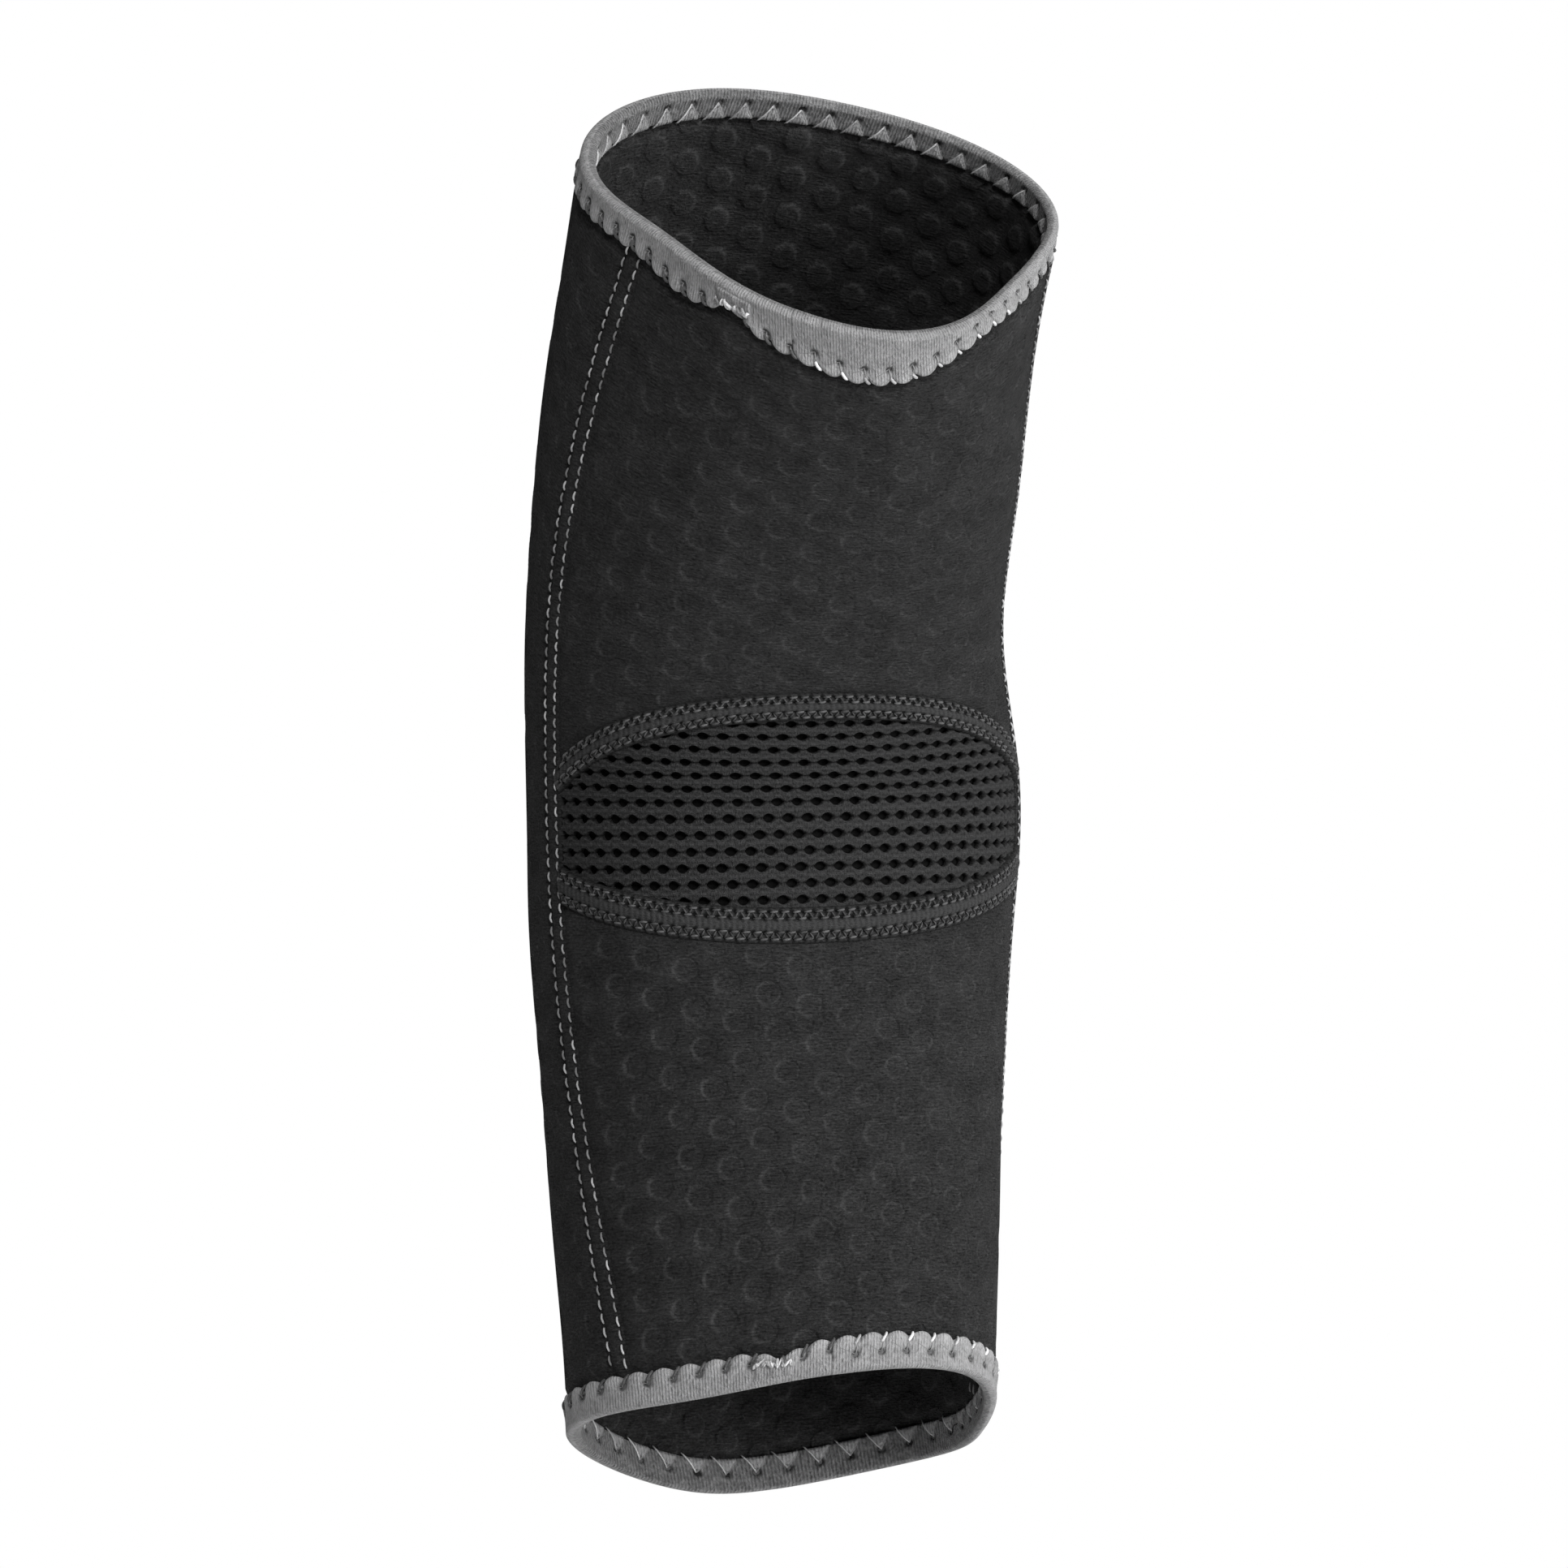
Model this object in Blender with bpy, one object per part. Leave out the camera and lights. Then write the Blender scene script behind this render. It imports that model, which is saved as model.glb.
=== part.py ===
"""Elbow sleeve in sewn neoprene, modelled in metres with +Z up along the arm.

The origin is the centre of the elbow. The crook of the elbow faces -Y, the point of the elbow
faces +Y, and +X is the right-hand side seen from the crook. Every piece is cut from one bent
tube: S is the length along the tube's centre line from the elbow (up is positive) and THETA is
the angle around it (0 at the crook, +90 degrees at +X, 180 degrees at the point of the elbow).
"""
import math

import bmesh
import bpy
import numpy as np

MM = 0.001

# Tube: length, bend and section
HALF_LENGTH = 112.5 * MM
UPPER_TILT = math.radians(42)      # lean of the top rim towards the crook
LOWER_TILT = math.radians(14)      # lean of the bottom rim towards the crook
BEND_SPREAD = 103 * MM             # how far from the elbow the bend spreads
# The rims aren't flat: their height is a lift plus waves of one, two and three turns around the
# tube, each with its cosine and sine parts. The first wave cuts the bottom rim short at the crook
TOP_RIM_LIFT = -1.2 * MM
TOP_RIM_WAVES = [(-0.4 * MM, -0.1 * MM), (0.9 * MM, 0.1 * MM), (-0.3 * MM, -0.9 * MM)]
BOTTOM_RIM_LIFT = 0.6 * MM
BOTTOM_RIM_WAVES = [(8.1 * MM, -0.8 * MM), (-0.3 * MM, 0.0 * MM), (0.2 * MM, 1.3 * MM)]
HALF_WIDTHS = [37.4 * MM, 41.0 * MM, 43.8 * MM, 42.5 * MM, 39.6 * MM]
FRONT_DEPTHS = [30.6 * MM, 33.9 * MM, 30.6 * MM]
BACK_DEPTHS = [30.9 * MM, 33.3 * MM, 30.9 * MM]
SECTION_TURNS = [math.radians(-3), math.radians(0.5), math.radians(-22)]
FRONT_SQUARENESS = 2.15
BACK_SQUARENESS = 2.1
UPPER_EGG = (0.07, 0.06)           # third-order swell of the section at the top rim
LOWER_EGG = (0.01, 0.08)           # and at the bottom rim
WAIST = (-2.6 * MM, 32.4 * MM, 21.6 * MM) # depth, place and spread on the right side
ELBOW_SWELL = (1.8 * MM, -3.6 * MM, 21.6 * MM)  # on the right side
LEFT_SWELL = (-0.8 * MM, 9 * MM, 27 * MM)  # on the left side

# Walls
WALL = 2.5 * MM
EDGE_PINCH = 0.7 * MM              # each face of the wall sinks this much under the binding
PINCH_START = 4.5 * MM              # full up to this far beyond the binding's edge
PINCH_END = 8.5 * MM                # and gone this far beyond it
GAP = 0.3 * MM
HALF_GAP = GAP / 2

# Side seams: angle at the elbow, then its change with the first three powers of the height
LEFT_SEAM = [math.radians(73.5), math.radians(-5.0), math.radians(-19.5), 0.0]
RIGHT_SEAM = [math.radians(75.2), math.radians(6.3), math.radians(25.3), math.radians(2.7)]
SEAM_WIDTH = 4.4 * MM
SEAM_RISE = 0.25 * MM

# Tapes around the mesh insert: height at the middle, drop at the sides, slant left to right
UPPER_TAPE = (26.3 * MM, 18.6 * MM, 0.0 * MM)
LOWER_TAPE = (-26.8 * MM, -9.3 * MM, 1.0 * MM)
UPPER_TAPE_WIDTH = 6.6 * MM
LOWER_TAPE_WIDTH = 6.9 * MM
TAPE_RISE = 0.6 * MM
MESH_SINK = 0.4 * MM
THREAD_INSET = 1.2 * MM
THREAD_WIDTH = 1.3 * MM
THREAD_THICKNESS = 0.2 * MM

# Back panel: the zone over the point of the elbow that bends
FLEX_ZONE = 19 * MM

# Binding: tape folded over each rim. The top one reaches furthest down just beside its join
TOP_REACH = 4.2 * MM
TOP_REACH_SWELL = 6.4 * MM
TOP_REACH_PLACE = math.radians(15)
TOP_REACH_SPREAD = math.radians(22)
BOTTOM_REACH = 5.4 * MM
TOP_INNER_REACH = 3.6 * MM
BOTTOM_INNER_REACH = 5.2 * MM
BINDING_OUT = 0.1 * MM
BINDING_LEG = 0.5 * MM
BINDING_TOP = 0.9 * MM
BINDING_STEPS = 48
BINDING_THREAD_EDGE = 1.0 * MM      # from the tape's free edge to its stitching
BINDING_THREAD_WIDTH = 1.6 * MM
JOIN_TOP = 0.3 * MM
JOIN_EDGE = 2.8 * MM
JOIN_RISE = 0.6 * MM
TOP_JOIN_STEPS = (45, 47)          # which steps around the rim the tape's end covers
BOTTOM_JOIN_STEPS = (45, 47)

FINE = 1e-3


def remove_all():
    for item in list(bpy.data.objects):
        bpy.data.objects.remove(item, do_unlink=True)


def along(values, s):
    """Smooth value at S from values at evenly spaced stations between the rims."""
    stations = np.linspace(-1, 1, len(values))
    return np.polyval(np.polyfit(stations, values, len(values) - 1), s / HALF_LENGTH)


def tilt(s):
    full = np.where(s > 0, UPPER_TILT, LOWER_TILT)
    return full * np.tanh(s / BEND_SPREAD) / math.tanh(HALF_LENGTH / BEND_SPREAD)


def centre_line(s):
    """Y and Z of the centre line, and its tilt, at S."""
    table = np.linspace(-0.15, 0.15, 601)
    step = table[1] - table[0]
    lean = tilt(table)
    y = np.concatenate([[0], np.cumsum(-np.sin((lean[1:] + lean[:-1]) / 2) * step)])
    z = np.concatenate([[0], np.cumsum(np.cos((lean[1:] + lean[:-1]) / 2) * step)])
    middle = len(table) // 2
    return np.interp(s, table, y - y[middle]), np.interp(s, table, z - z[middle]), tilt(s)


def bump(s, shape):
    height, place, spread = shape
    return height * np.exp(-((s - place) / spread) ** 2)


def section(s, theta):
    """X and depth (towards the point of the elbow) of the outer face in its section plane."""
    sine, cosine = np.sin(theta), np.cos(theta)
    power = 2 / np.where(cosine > 0, FRONT_SQUARENESS, BACK_SQUARENESS)
    depth = np.where(cosine > 0, -along(FRONT_DEPTHS, s), along(BACK_DEPTHS, s))
    x = np.sign(sine) * np.abs(sine) ** power * along(HALF_WIDTHS, s)
    q = depth * np.abs(cosine) ** power
    right = np.maximum(sine, 0) ** 2
    left = np.maximum(-sine, 0) ** 2
    x = x + right * (bump(s, WAIST) + bump(s, ELBOW_SWELL)) - left * bump(s, LEFT_SWELL)
    reach = (s / HALF_LENGTH) ** 2
    egg_cos = np.where(s > 0, UPPER_EGG[0], LOWER_EGG[0]) * reach
    egg_sin = np.where(s > 0, UPPER_EGG[1], LOWER_EGG[1]) * reach
    swell = 1 + egg_cos * np.cos(3 * theta) + egg_sin * np.sin(3 * theta)
    turn = along(SECTION_TURNS, s)
    x, q = x * swell, q * swell
    return x * np.cos(turn) - q * np.sin(turn), x * np.sin(turn) + q * np.cos(turn)


def shell(s, theta, offset):
    """Points OFFSET outside the tube's outer face."""
    s, theta, offset = np.broadcast_arrays(np.float64(s), theta, offset)
    x, q = section(s, theta)
    x_up, q_up = section(s, theta + 5 * FINE)
    x_down, q_down = section(s, theta - 5 * FINE)
    run, rise = x_up - x_down, q_up - q_down
    length = np.hypot(run, rise)
    x = x + offset * rise / length
    q = q - offset * run / length
    y, z, lean = centre_line(s)
    return np.stack([x, y + q * np.cos(lean), z + q * np.sin(lean)], axis=-1)


def angle_of(width, s, theta):
    """Angle that covers WIDTH along the outer face at S and THETA."""
    here = shell(s, theta - FINE, 0)
    there = shell(s, theta + FINE, 0)
    return width * 2 * FINE / np.linalg.norm(there - here, axis=-1)


def seam_angle(side, s):
    """Angle of the left (SIDE -1) or right (1) seam at S."""
    powers = LEFT_SEAM if side < 0 else RIGHT_SEAM
    return side * np.polyval(powers[::-1], np.clip(s / HALF_LENGTH, -1.05, 1.05))


def seam_edge(side, s, outward):
    """Angle of the seam strip's edge: OUTWARD 1 is its edge at the back panel, -1 at the front."""
    middle = seam_angle(side, s)
    return middle + side * outward * angle_of(SEAM_WIDTH / 2, s, middle)


def front_angle(p, s):
    """Angle on the front panel, with P from -1 at the left seam to 1 at the right one."""
    left = seam_edge(-1, s, -1) + angle_of(GAP, s, seam_angle(-1, s))
    right = seam_edge(1, s, -1) - angle_of(GAP, s, seam_angle(1, s))
    return left + (right - left) * (p + 1) / 2


def back_angle(p, s):
    """Angle on the back panel, with P from -1 at the right seam to 1 at the left one."""
    right = seam_edge(1, s, 1) + angle_of(GAP, s, seam_angle(1, s))
    left = 2 * math.pi + seam_edge(-1, s, 1) - angle_of(GAP, s, seam_angle(-1, s))
    return right + (left - right) * (p + 1) / 2


def rim_wave(theta, lift, waves):
    turns = np.arange(1, len(waves) + 1)
    cosines, sines = np.array(waves).T
    angles = np.multiply.outer(theta, turns)
    return lift + np.cos(angles) @ cosines + np.sin(angles) @ sines


def top_rim(theta):
    return HALF_LENGTH + rim_wave(theta, TOP_RIM_LIFT, TOP_RIM_WAVES)


def bottom_rim(theta):
    return -HALF_LENGTH + rim_wave(theta, BOTTOM_RIM_LIFT, BOTTOM_RIM_WAVES)


def top_reach(theta):
    turned = (theta - TOP_REACH_PLACE + math.pi) % (2 * math.pi) - math.pi
    return TOP_REACH + TOP_REACH_SWELL * np.exp(-(turned / TOP_REACH_SPREAD) ** 2)


def bottom_reach(theta):
    return BOTTOM_REACH + 0 * theta


def tape_line(tape, p):
    height, drop, slant = tape
    return height - drop * p * p + slant * p


def pinch(s, theta):
    """How far each face sinks near a rim, under the binding."""
    below_top = top_rim(theta) - s - top_reach(theta)
    above_bottom = s - bottom_rim(theta) - bottom_reach(theta)
    clear = np.minimum(below_top, above_bottom)
    return EDGE_PINCH * np.clip((PINCH_END - clear) / (PINCH_END - PINCH_START), 0, 1)


def solid(name, outer, inner, colour, roughness, closed=False):
    """A closed piece between two grids of points, OUTER and INNER, rows by columns."""
    rows, columns = outer.shape[:2]
    mesh = bmesh.new()
    out = [[mesh.verts.new(outer[i, j]) for j in range(columns)] for i in range(rows)]
    ins = [[mesh.verts.new(inner[i, j]) for j in range(columns)] for i in range(rows)]
    last = columns if closed else columns - 1
    for i in range(rows - 1):
        for j in range(last):
            k = (j + 1) % columns
            mesh.faces.new((out[i][j], out[i][k], out[i + 1][k], out[i + 1][j]))
            mesh.faces.new((ins[i + 1][j], ins[i + 1][k], ins[i][k], ins[i][j]))
    for j in range(last):
        k = (j + 1) % columns
        mesh.faces.new((ins[0][j], ins[0][k], out[0][k], out[0][j]))
        mesh.faces.new((out[-1][j], out[-1][k], ins[-1][k], ins[-1][j]))
    if not closed:
        for i in range(rows - 1):
            mesh.faces.new((out[i][0], out[i + 1][0], ins[i + 1][0], ins[i][0]))
            mesh.faces.new((ins[i][-1], ins[i + 1][-1], out[i + 1][-1], out[i][-1]))
    return finish(name, mesh, colour, roughness)


def finish(name, mesh, colour, roughness):
    bmesh.ops.triangulate(mesh, faces=mesh.faces)
    bmesh.ops.recalc_face_normals(mesh, faces=mesh.faces)
    data = bpy.data.meshes.new(name)
    mesh.to_mesh(data)
    mesh.free()
    piece = bpy.data.objects.new(name, data)
    bpy.context.scene.collection.objects.link(piece)
    data.shade_smooth()
    data.set_sharp_from_angle(angle=math.radians(35))
    material = bpy.data.materials.new(name)
    material.use_nodes = True
    shader = material.node_tree.nodes["Principled BSDF"]
    shader.inputs["Base Color"].default_value = (*colour, 1)
    shader.inputs["Roughness"].default_value = roughness
    data.materials.append(material)
    return piece


def front_piece(name, low, high, steps, rise, sink, colour, roughness):
    """A piece between the side seams, from LOW(p, theta) to HIGH(p, theta)."""
    t, p = np.meshgrid(np.linspace(0, 1, steps[0] + 1), np.linspace(-1, 1, steps[1] + 1),
                       indexing="ij")
    s = 0 * t
    for _ in range(4):
        theta = front_angle(p, s)
        s = low(p, theta) + (high(p, theta) - low(p, theta)) * t
    inset = pinch(s, theta)
    return solid(name, shell(s, theta, rise - inset), shell(s, theta, -sink + inset),
                 colour, roughness)


def back_piece(name, low, high, steps):
    """A piece of the back panel, from LOW(theta) to HIGH(theta)."""
    t, p = np.meshgrid(np.linspace(0, 1, steps[0] + 1), np.linspace(-1, 1, steps[1] + 1),
                       indexing="ij")
    s = 0 * t
    for _ in range(4):
        theta = back_angle(p, s)
        s = low(theta) + (high(theta) - low(theta)) * t
    inset = pinch(s, theta)
    return solid(name, shell(s, theta, -inset), shell(s, theta, -WALL + inset), BLACK, 0.9)


def seam_piece(name, side, low, high, steps):
    """A stretch of the flat side seam that joins the front and the back."""
    t, p = np.meshgrid(np.linspace(0, 1, steps + 1), np.array([-1.0, 0.0, 1.0]), indexing="ij")
    s = 0 * t
    for _ in range(4):
        middle = seam_angle(side, s)
        theta = middle + p * angle_of(SEAM_WIDTH / 2, s, middle)
        s = low(theta) + (high(theta) - low(theta)) * t
    inset = pinch(s, theta) * (1 + SEAM_RISE / EDGE_PINCH)
    return solid(name, shell(s, theta, SEAM_RISE - inset),
                 shell(s, theta, -WALL - SEAM_RISE + inset), THREAD, 0.7)


def binding_ring(name, rim, reach, inner_reach, up):
    """Tape folded over a rim. UP is 1 at the top rim and -1 at the bottom one."""
    theta = np.arange(BINDING_STEPS) * 2 * math.pi / BINDING_STEPS
    crown = WALL / 2
    outer_leg, inner_leg = BINDING_OUT, -WALL - BINDING_OUT
    outer_end, inner_end = -reach(theta), -inner_reach
    profile = [(outer_leg, outer_end), (outer_leg, 0), (-crown / 6, BINDING_TOP * 0.75),
               (-crown, BINDING_TOP), (-WALL + crown / 6, BINDING_TOP * 0.75), (inner_leg, 0),
               (inner_leg, inner_end), (inner_leg + BINDING_LEG, inner_end),
               (inner_leg + BINDING_LEG, GAP), (outer_leg - BINDING_LEG, GAP),
               (outer_leg - BINDING_LEG, outer_end)]
    mesh = bmesh.new()
    loops = []
    for offset, beyond in profile:
        points = shell(rim(theta) + up * beyond, theta, offset)
        loops.append([mesh.verts.new(point) for point in points])
    for a, first in enumerate(loops):
        second = loops[(a + 1) % len(loops)]
        for j in range(BINDING_STEPS):
            k = (j + 1) % BINDING_STEPS
            mesh.faces.new((first[j], first[k], second[k], second[j]))
    return finish(name, mesh, GREY, 0.85)


def on_binding(name, rim, up, steps, near, far, rise, colour):
    """A thin piece on the binding's outer face, from NEAR(theta) to FAR(theta) below the rim."""
    count = steps[1] - steps[0]
    closed = count == BINDING_STEPS
    theta = np.arange(steps[0], steps[1] + (0 if closed else 1)) * 2 * math.pi / BINDING_STEPS
    s = rim(theta) - up * np.stack([near(theta), far(theta)])
    base = BINDING_OUT + GAP
    return solid(name, shell(s, theta, base + rise), shell(s, theta, base), colour, 0.8, closed)


def tape_thread(name, tape, inset, colour):
    """Cover stitching along a mesh tape, INSET above the tape's lower edge."""
    low = lambda p, theta: tape_line(tape, p) + inset
    high = lambda p, theta: tape_line(tape, p) + inset + THREAD_WIDTH
    base = TAPE_RISE + GAP
    front_piece(name, low, high, (1, 22), base + THREAD_THICKNESS, -base, colour, 0.8)


BLACK = (0.016, 0.016, 0.017)
DARK = (0.012, 0.012, 0.013)
CHARCOAL = (0.022, 0.022, 0.023)
THREAD = (0.30, 0.30, 0.30)
GREY = (0.20, 0.20, 0.20)


def upper_tape_bottom(p, theta=0):
    return tape_line(UPPER_TAPE, p) - UPPER_TAPE_WIDTH


def lower_tape_top(p, theta=0):
    return tape_line(LOWER_TAPE, p) + LOWER_TAPE_WIDTH


def build_front():
    front_piece("front_upper_panel", lambda p, a: tape_line(UPPER_TAPE, p) + GAP,
                lambda p, a: top_rim(a), (22, 16), 0, WALL, BLACK, 0.9)
    front_piece("upper_seam_tape", upper_tape_bottom, lambda p, a: tape_line(UPPER_TAPE, p),
                (1, 22), TAPE_RISE, WALL, CHARCOAL, 0.9)
    front_piece("mesh_insert", lambda p, a: lower_tape_top(p) + GAP,
                lambda p, a: upper_tape_bottom(p) - GAP, (5, 22), -MESH_SINK, WALL - MESH_SINK,
                DARK, 0.85)
    front_piece("lower_seam_tape", lambda p, a: tape_line(LOWER_TAPE, p), lower_tape_top,
                (1, 22), TAPE_RISE, WALL, CHARCOAL, 0.9)
    front_piece("front_lower_panel", lambda p, a: bottom_rim(a),
                lambda p, a: tape_line(LOWER_TAPE, p) - GAP, (22, 16), 0, WALL, BLACK, 0.9)


def build_tape_threads():
    upper_low = (UPPER_TAPE[0] - UPPER_TAPE_WIDTH, UPPER_TAPE[1], UPPER_TAPE[2])
    far = UPPER_TAPE_WIDTH - THREAD_INSET - THREAD_WIDTH
    tape_thread("upper_tape_thread_outer", upper_low, far, DARK)
    tape_thread("upper_tape_thread_inner", upper_low, THREAD_INSET, DARK)
    far = LOWER_TAPE_WIDTH - THREAD_INSET - THREAD_WIDTH
    tape_thread("lower_tape_thread_inner", LOWER_TAPE, far, DARK)
    tape_thread("lower_tape_thread_outer", LOWER_TAPE, THREAD_INSET, DARK)


def build_back():
    back_piece("back_upper_panel", lambda a: FLEX_ZONE + HALF_GAP + 0 * a, top_rim, (22, 22))
    back_piece("back_elbow_panel", lambda a: -FLEX_ZONE + HALF_GAP + 0 * a,
               lambda a: FLEX_ZONE - HALF_GAP + 0 * a, (5, 22))
    back_piece("back_lower_panel", bottom_rim, lambda a: -FLEX_ZONE - HALF_GAP + 0 * a, (22, 22))


def build_seams():
    for side, label in ((-1, "left"), (1, "right")):
        high = FLEX_ZONE + HALF_GAP
        low = -FLEX_ZONE - HALF_GAP
        seam_piece(label + "_seam_upper", side, lambda a: high + 0 * a, top_rim, 24)
        seam_piece(label + "_seam_elbow", side, lambda a: low + GAP + 0 * a,
                   lambda a: high - GAP + 0 * a, 5)
        seam_piece(label + "_seam_lower", side, bottom_rim, lambda a: low + 0 * a, 24)


def build_binding(label, rim, reach, inner_reach, up, join):
    binding_ring(label + "_binding", rim, reach, inner_reach, up)
    stitch_bottom = BINDING_THREAD_EDGE
    stitch_top = BINDING_THREAD_EDGE + BINDING_THREAD_WIDTH
    on_binding(label + "_binding_thread", rim, up, (0, BINDING_STEPS),
               lambda a: reach(a) - stitch_top, lambda a: reach(a) - stitch_bottom, GAP, THREAD)
    on_binding(label + "_binding_join", rim, up, join, lambda a: JOIN_TOP + 0 * a,
               lambda a: reach(a) - JOIN_EDGE, JOIN_RISE, GREY)


remove_all()
build_front()
build_tape_threads()
build_back()
build_seams()
build_binding("top", top_rim, top_reach, TOP_INNER_REACH, 1, TOP_JOIN_STEPS)
build_binding("bottom", bottom_rim, bottom_reach, BOTTOM_INNER_REACH, -1, BOTTOM_JOIN_STEPS)
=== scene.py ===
"""Looks of the elbow sleeve: cloth, stitching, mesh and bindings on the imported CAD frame.

The outer face of the sleeve is one bent tube. S is the length along its centre line from the
elbow (up is positive), THETA is the angle around it (0 at the crook, +90 degrees at +X), and
U is the length around it from the crook.
"""
import math

import bpy
import numpy as np
from mathutils import Euler, Matrix


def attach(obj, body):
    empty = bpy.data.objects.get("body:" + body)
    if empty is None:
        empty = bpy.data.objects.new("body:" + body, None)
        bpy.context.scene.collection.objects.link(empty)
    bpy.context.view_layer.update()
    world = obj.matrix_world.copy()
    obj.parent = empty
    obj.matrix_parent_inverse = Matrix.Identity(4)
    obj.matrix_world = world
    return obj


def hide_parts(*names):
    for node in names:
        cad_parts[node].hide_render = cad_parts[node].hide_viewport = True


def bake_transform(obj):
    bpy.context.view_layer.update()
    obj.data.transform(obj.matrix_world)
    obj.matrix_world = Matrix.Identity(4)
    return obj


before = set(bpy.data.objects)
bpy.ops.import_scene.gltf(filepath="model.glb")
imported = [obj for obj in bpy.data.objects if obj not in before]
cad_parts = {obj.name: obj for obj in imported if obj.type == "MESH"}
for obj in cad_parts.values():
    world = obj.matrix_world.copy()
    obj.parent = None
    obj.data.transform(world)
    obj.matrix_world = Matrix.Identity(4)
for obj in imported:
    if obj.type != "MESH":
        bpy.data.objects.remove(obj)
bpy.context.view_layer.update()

MM = 0.001
TURN = 2 * math.pi
CREASE = math.radians(50)         # sharper edges than this are shaded as edges

# Tube, as in the CAD
HALF_LENGTH = 112.5 * MM
UPPER_TILT = math.radians(42)
LOWER_TILT = math.radians(14)
BEND_SPREAD = 103 * MM
TOP_RIM_LIFT = -1.2 * MM
TOP_RIM_WAVES = [(-0.4 * MM, -0.1 * MM), (0.9 * MM, 0.1 * MM), (-0.3 * MM, -0.9 * MM)]
BOTTOM_RIM_LIFT = 0.6 * MM
BOTTOM_RIM_WAVES = [(8.1 * MM, -0.8 * MM), (-0.3 * MM, 0.0 * MM), (0.2 * MM, 1.3 * MM)]
HALF_WIDTHS = [37.4 * MM, 41.0 * MM, 43.8 * MM, 42.5 * MM, 39.6 * MM]
FRONT_DEPTHS = [30.6 * MM, 33.9 * MM, 30.6 * MM]
BACK_DEPTHS = [30.9 * MM, 33.3 * MM, 30.9 * MM]
SECTION_TURNS = [math.radians(-3), math.radians(0.5), math.radians(-22)]
FRONT_SQUARENESS = 2.15
BACK_SQUARENESS = 2.1
UPPER_EGG = (0.07, 0.06)
LOWER_EGG = (0.01, 0.08)
WAIST = (-2.6 * MM, 32.4 * MM, 21.6 * MM)
ELBOW_SWELL = (1.8 * MM, -3.6 * MM, 21.6 * MM)
LEFT_SWELL = (-0.8 * MM, 9 * MM, 27 * MM)
WALL = 2.5 * MM
EDGE_PINCH = 0.72 * MM
LEFT_SEAM = [math.radians(73.5), math.radians(-5.0), math.radians(-19.5), 0.0]
RIGHT_SEAM = [math.radians(75.2), math.radians(6.3), math.radians(25.3), math.radians(2.7)]
SEAM_WIDTH = 4.4 * MM
SEAM_COLUMN = 1.55 * MM           # from the seam's middle line to each row of stitches
BAND_INSET = 1.8 * MM             # how far the mesh bands run in under the side seams
UPPER_TAPE = (26.3 * MM, 18.6 * MM, 0.0 * MM)
LOWER_TAPE = (-26.8 * MM, -9.3 * MM, 1.0 * MM)
UPPER_TAPE_WIDTH = 6.6 * MM
LOWER_TAPE_WIDTH = 6.9 * MM
TOP_REACH = 4.2 * MM
TOP_REACH_SWELL = 6.4 * MM
TOP_REACH_PLACE = math.radians(15)
TOP_REACH_SPREAD = math.radians(22)
BOTTOM_REACH = 5.4 * MM
TOP_INNER_REACH = 3.6 * MM
BOTTOM_INNER_REACH = 5.2 * MM

# Cloth
DOT_RADIUS = 2.25 * MM
DOT_PITCH = 7.4 * MM
DOT_DEPTH = 0.32 * MM
DOT_EDGE = 0.5 * MM
DISC_SOFTNESS = 0.28              # of a disc's edge in the material, in mm
INNER_DOT_RISE = 0.42 * MM

# Mesh
MESH_ROW = 3.08 * MM
MESH_PITCH = 3.46 * MM
MESH_HOLE = (1.05 * MM, 0.84 * MM)
MESH_THICKNESS = 0.9 * MM

# Bindings
BINDING_MIDDLE = -WALL / 2
BINDING_HALF = 1.35 * MM
BINDING_CREST = 0.8 * MM
TAPE_THICKNESS = 0.45 * MM
SCALLOP = 0.95 * MM
NEEDLE_DEPTH = 3.5 * MM           # from the lobes' outer line to the needle holes
NEEDLE_LEAD = 0.12                # of a stitch, from a needle hole to the next cusp
INNER_NEEDLE = 2.7 * MM
TOP_JOIN = math.radians(-13)
BOTTOM_JOIN = math.radians(-14)

# Studio
AMBIENT = 0.12
CAMERA_DISTANCE = 0.738
CAMERA_YAW = math.radians(14.2)
CAMERA_PITCH = math.radians(2.4)
CAMERA_ROLL = math.radians(-0.63)
CAMERA_LENS = 95.3
CAMERA_SHIFT = (0.0106, 0.00606)

# Stitches
SEAM_STITCH = 2.45 * MM
TAPE_STITCH = 1.95 * MM
TWIN_ROWS = (0.85 * MM, 2.15 * MM)   # each channel's two stitch rows, from the band's edge
BINDING_STITCH = 4.1 * MM
TOP_STITCHES = (4.1 * MM, 4.9 * MM)
BOTTOM_STITCHES = (4.5 * MM, 6.4 * MM)


# ---------------------------------------------------------------- the tube's own geometry

def along(values, s):
    stations = np.linspace(-1, 1, len(values))
    return np.polyval(np.polyfit(stations, values, len(values) - 1), s / HALF_LENGTH)


def tilt(s):
    full = np.where(s > 0, UPPER_TILT, LOWER_TILT)
    return full * np.tanh(s / BEND_SPREAD) / math.tanh(HALF_LENGTH / BEND_SPREAD)


def line_table():
    table = np.linspace(-0.15, 0.15, 601)
    step = table[1] - table[0]
    lean = tilt(table)
    y = np.concatenate([[0], np.cumsum(-np.sin((lean[1:] + lean[:-1]) / 2) * step)])
    z = np.concatenate([[0], np.cumsum(np.cos((lean[1:] + lean[:-1]) / 2) * step)])
    middle = len(table) // 2
    return table, y - y[middle], z - z[middle]


LINE_S, LINE_Y, LINE_Z = line_table()


def hump(x, spread):
    """1 where X is 0, falling off to both sides within SPREAD."""
    return np.exp(-(x / spread) ** 2)


def bump(s, shape):
    height, place, spread = shape
    return height * hump(s - place, spread)


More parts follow.
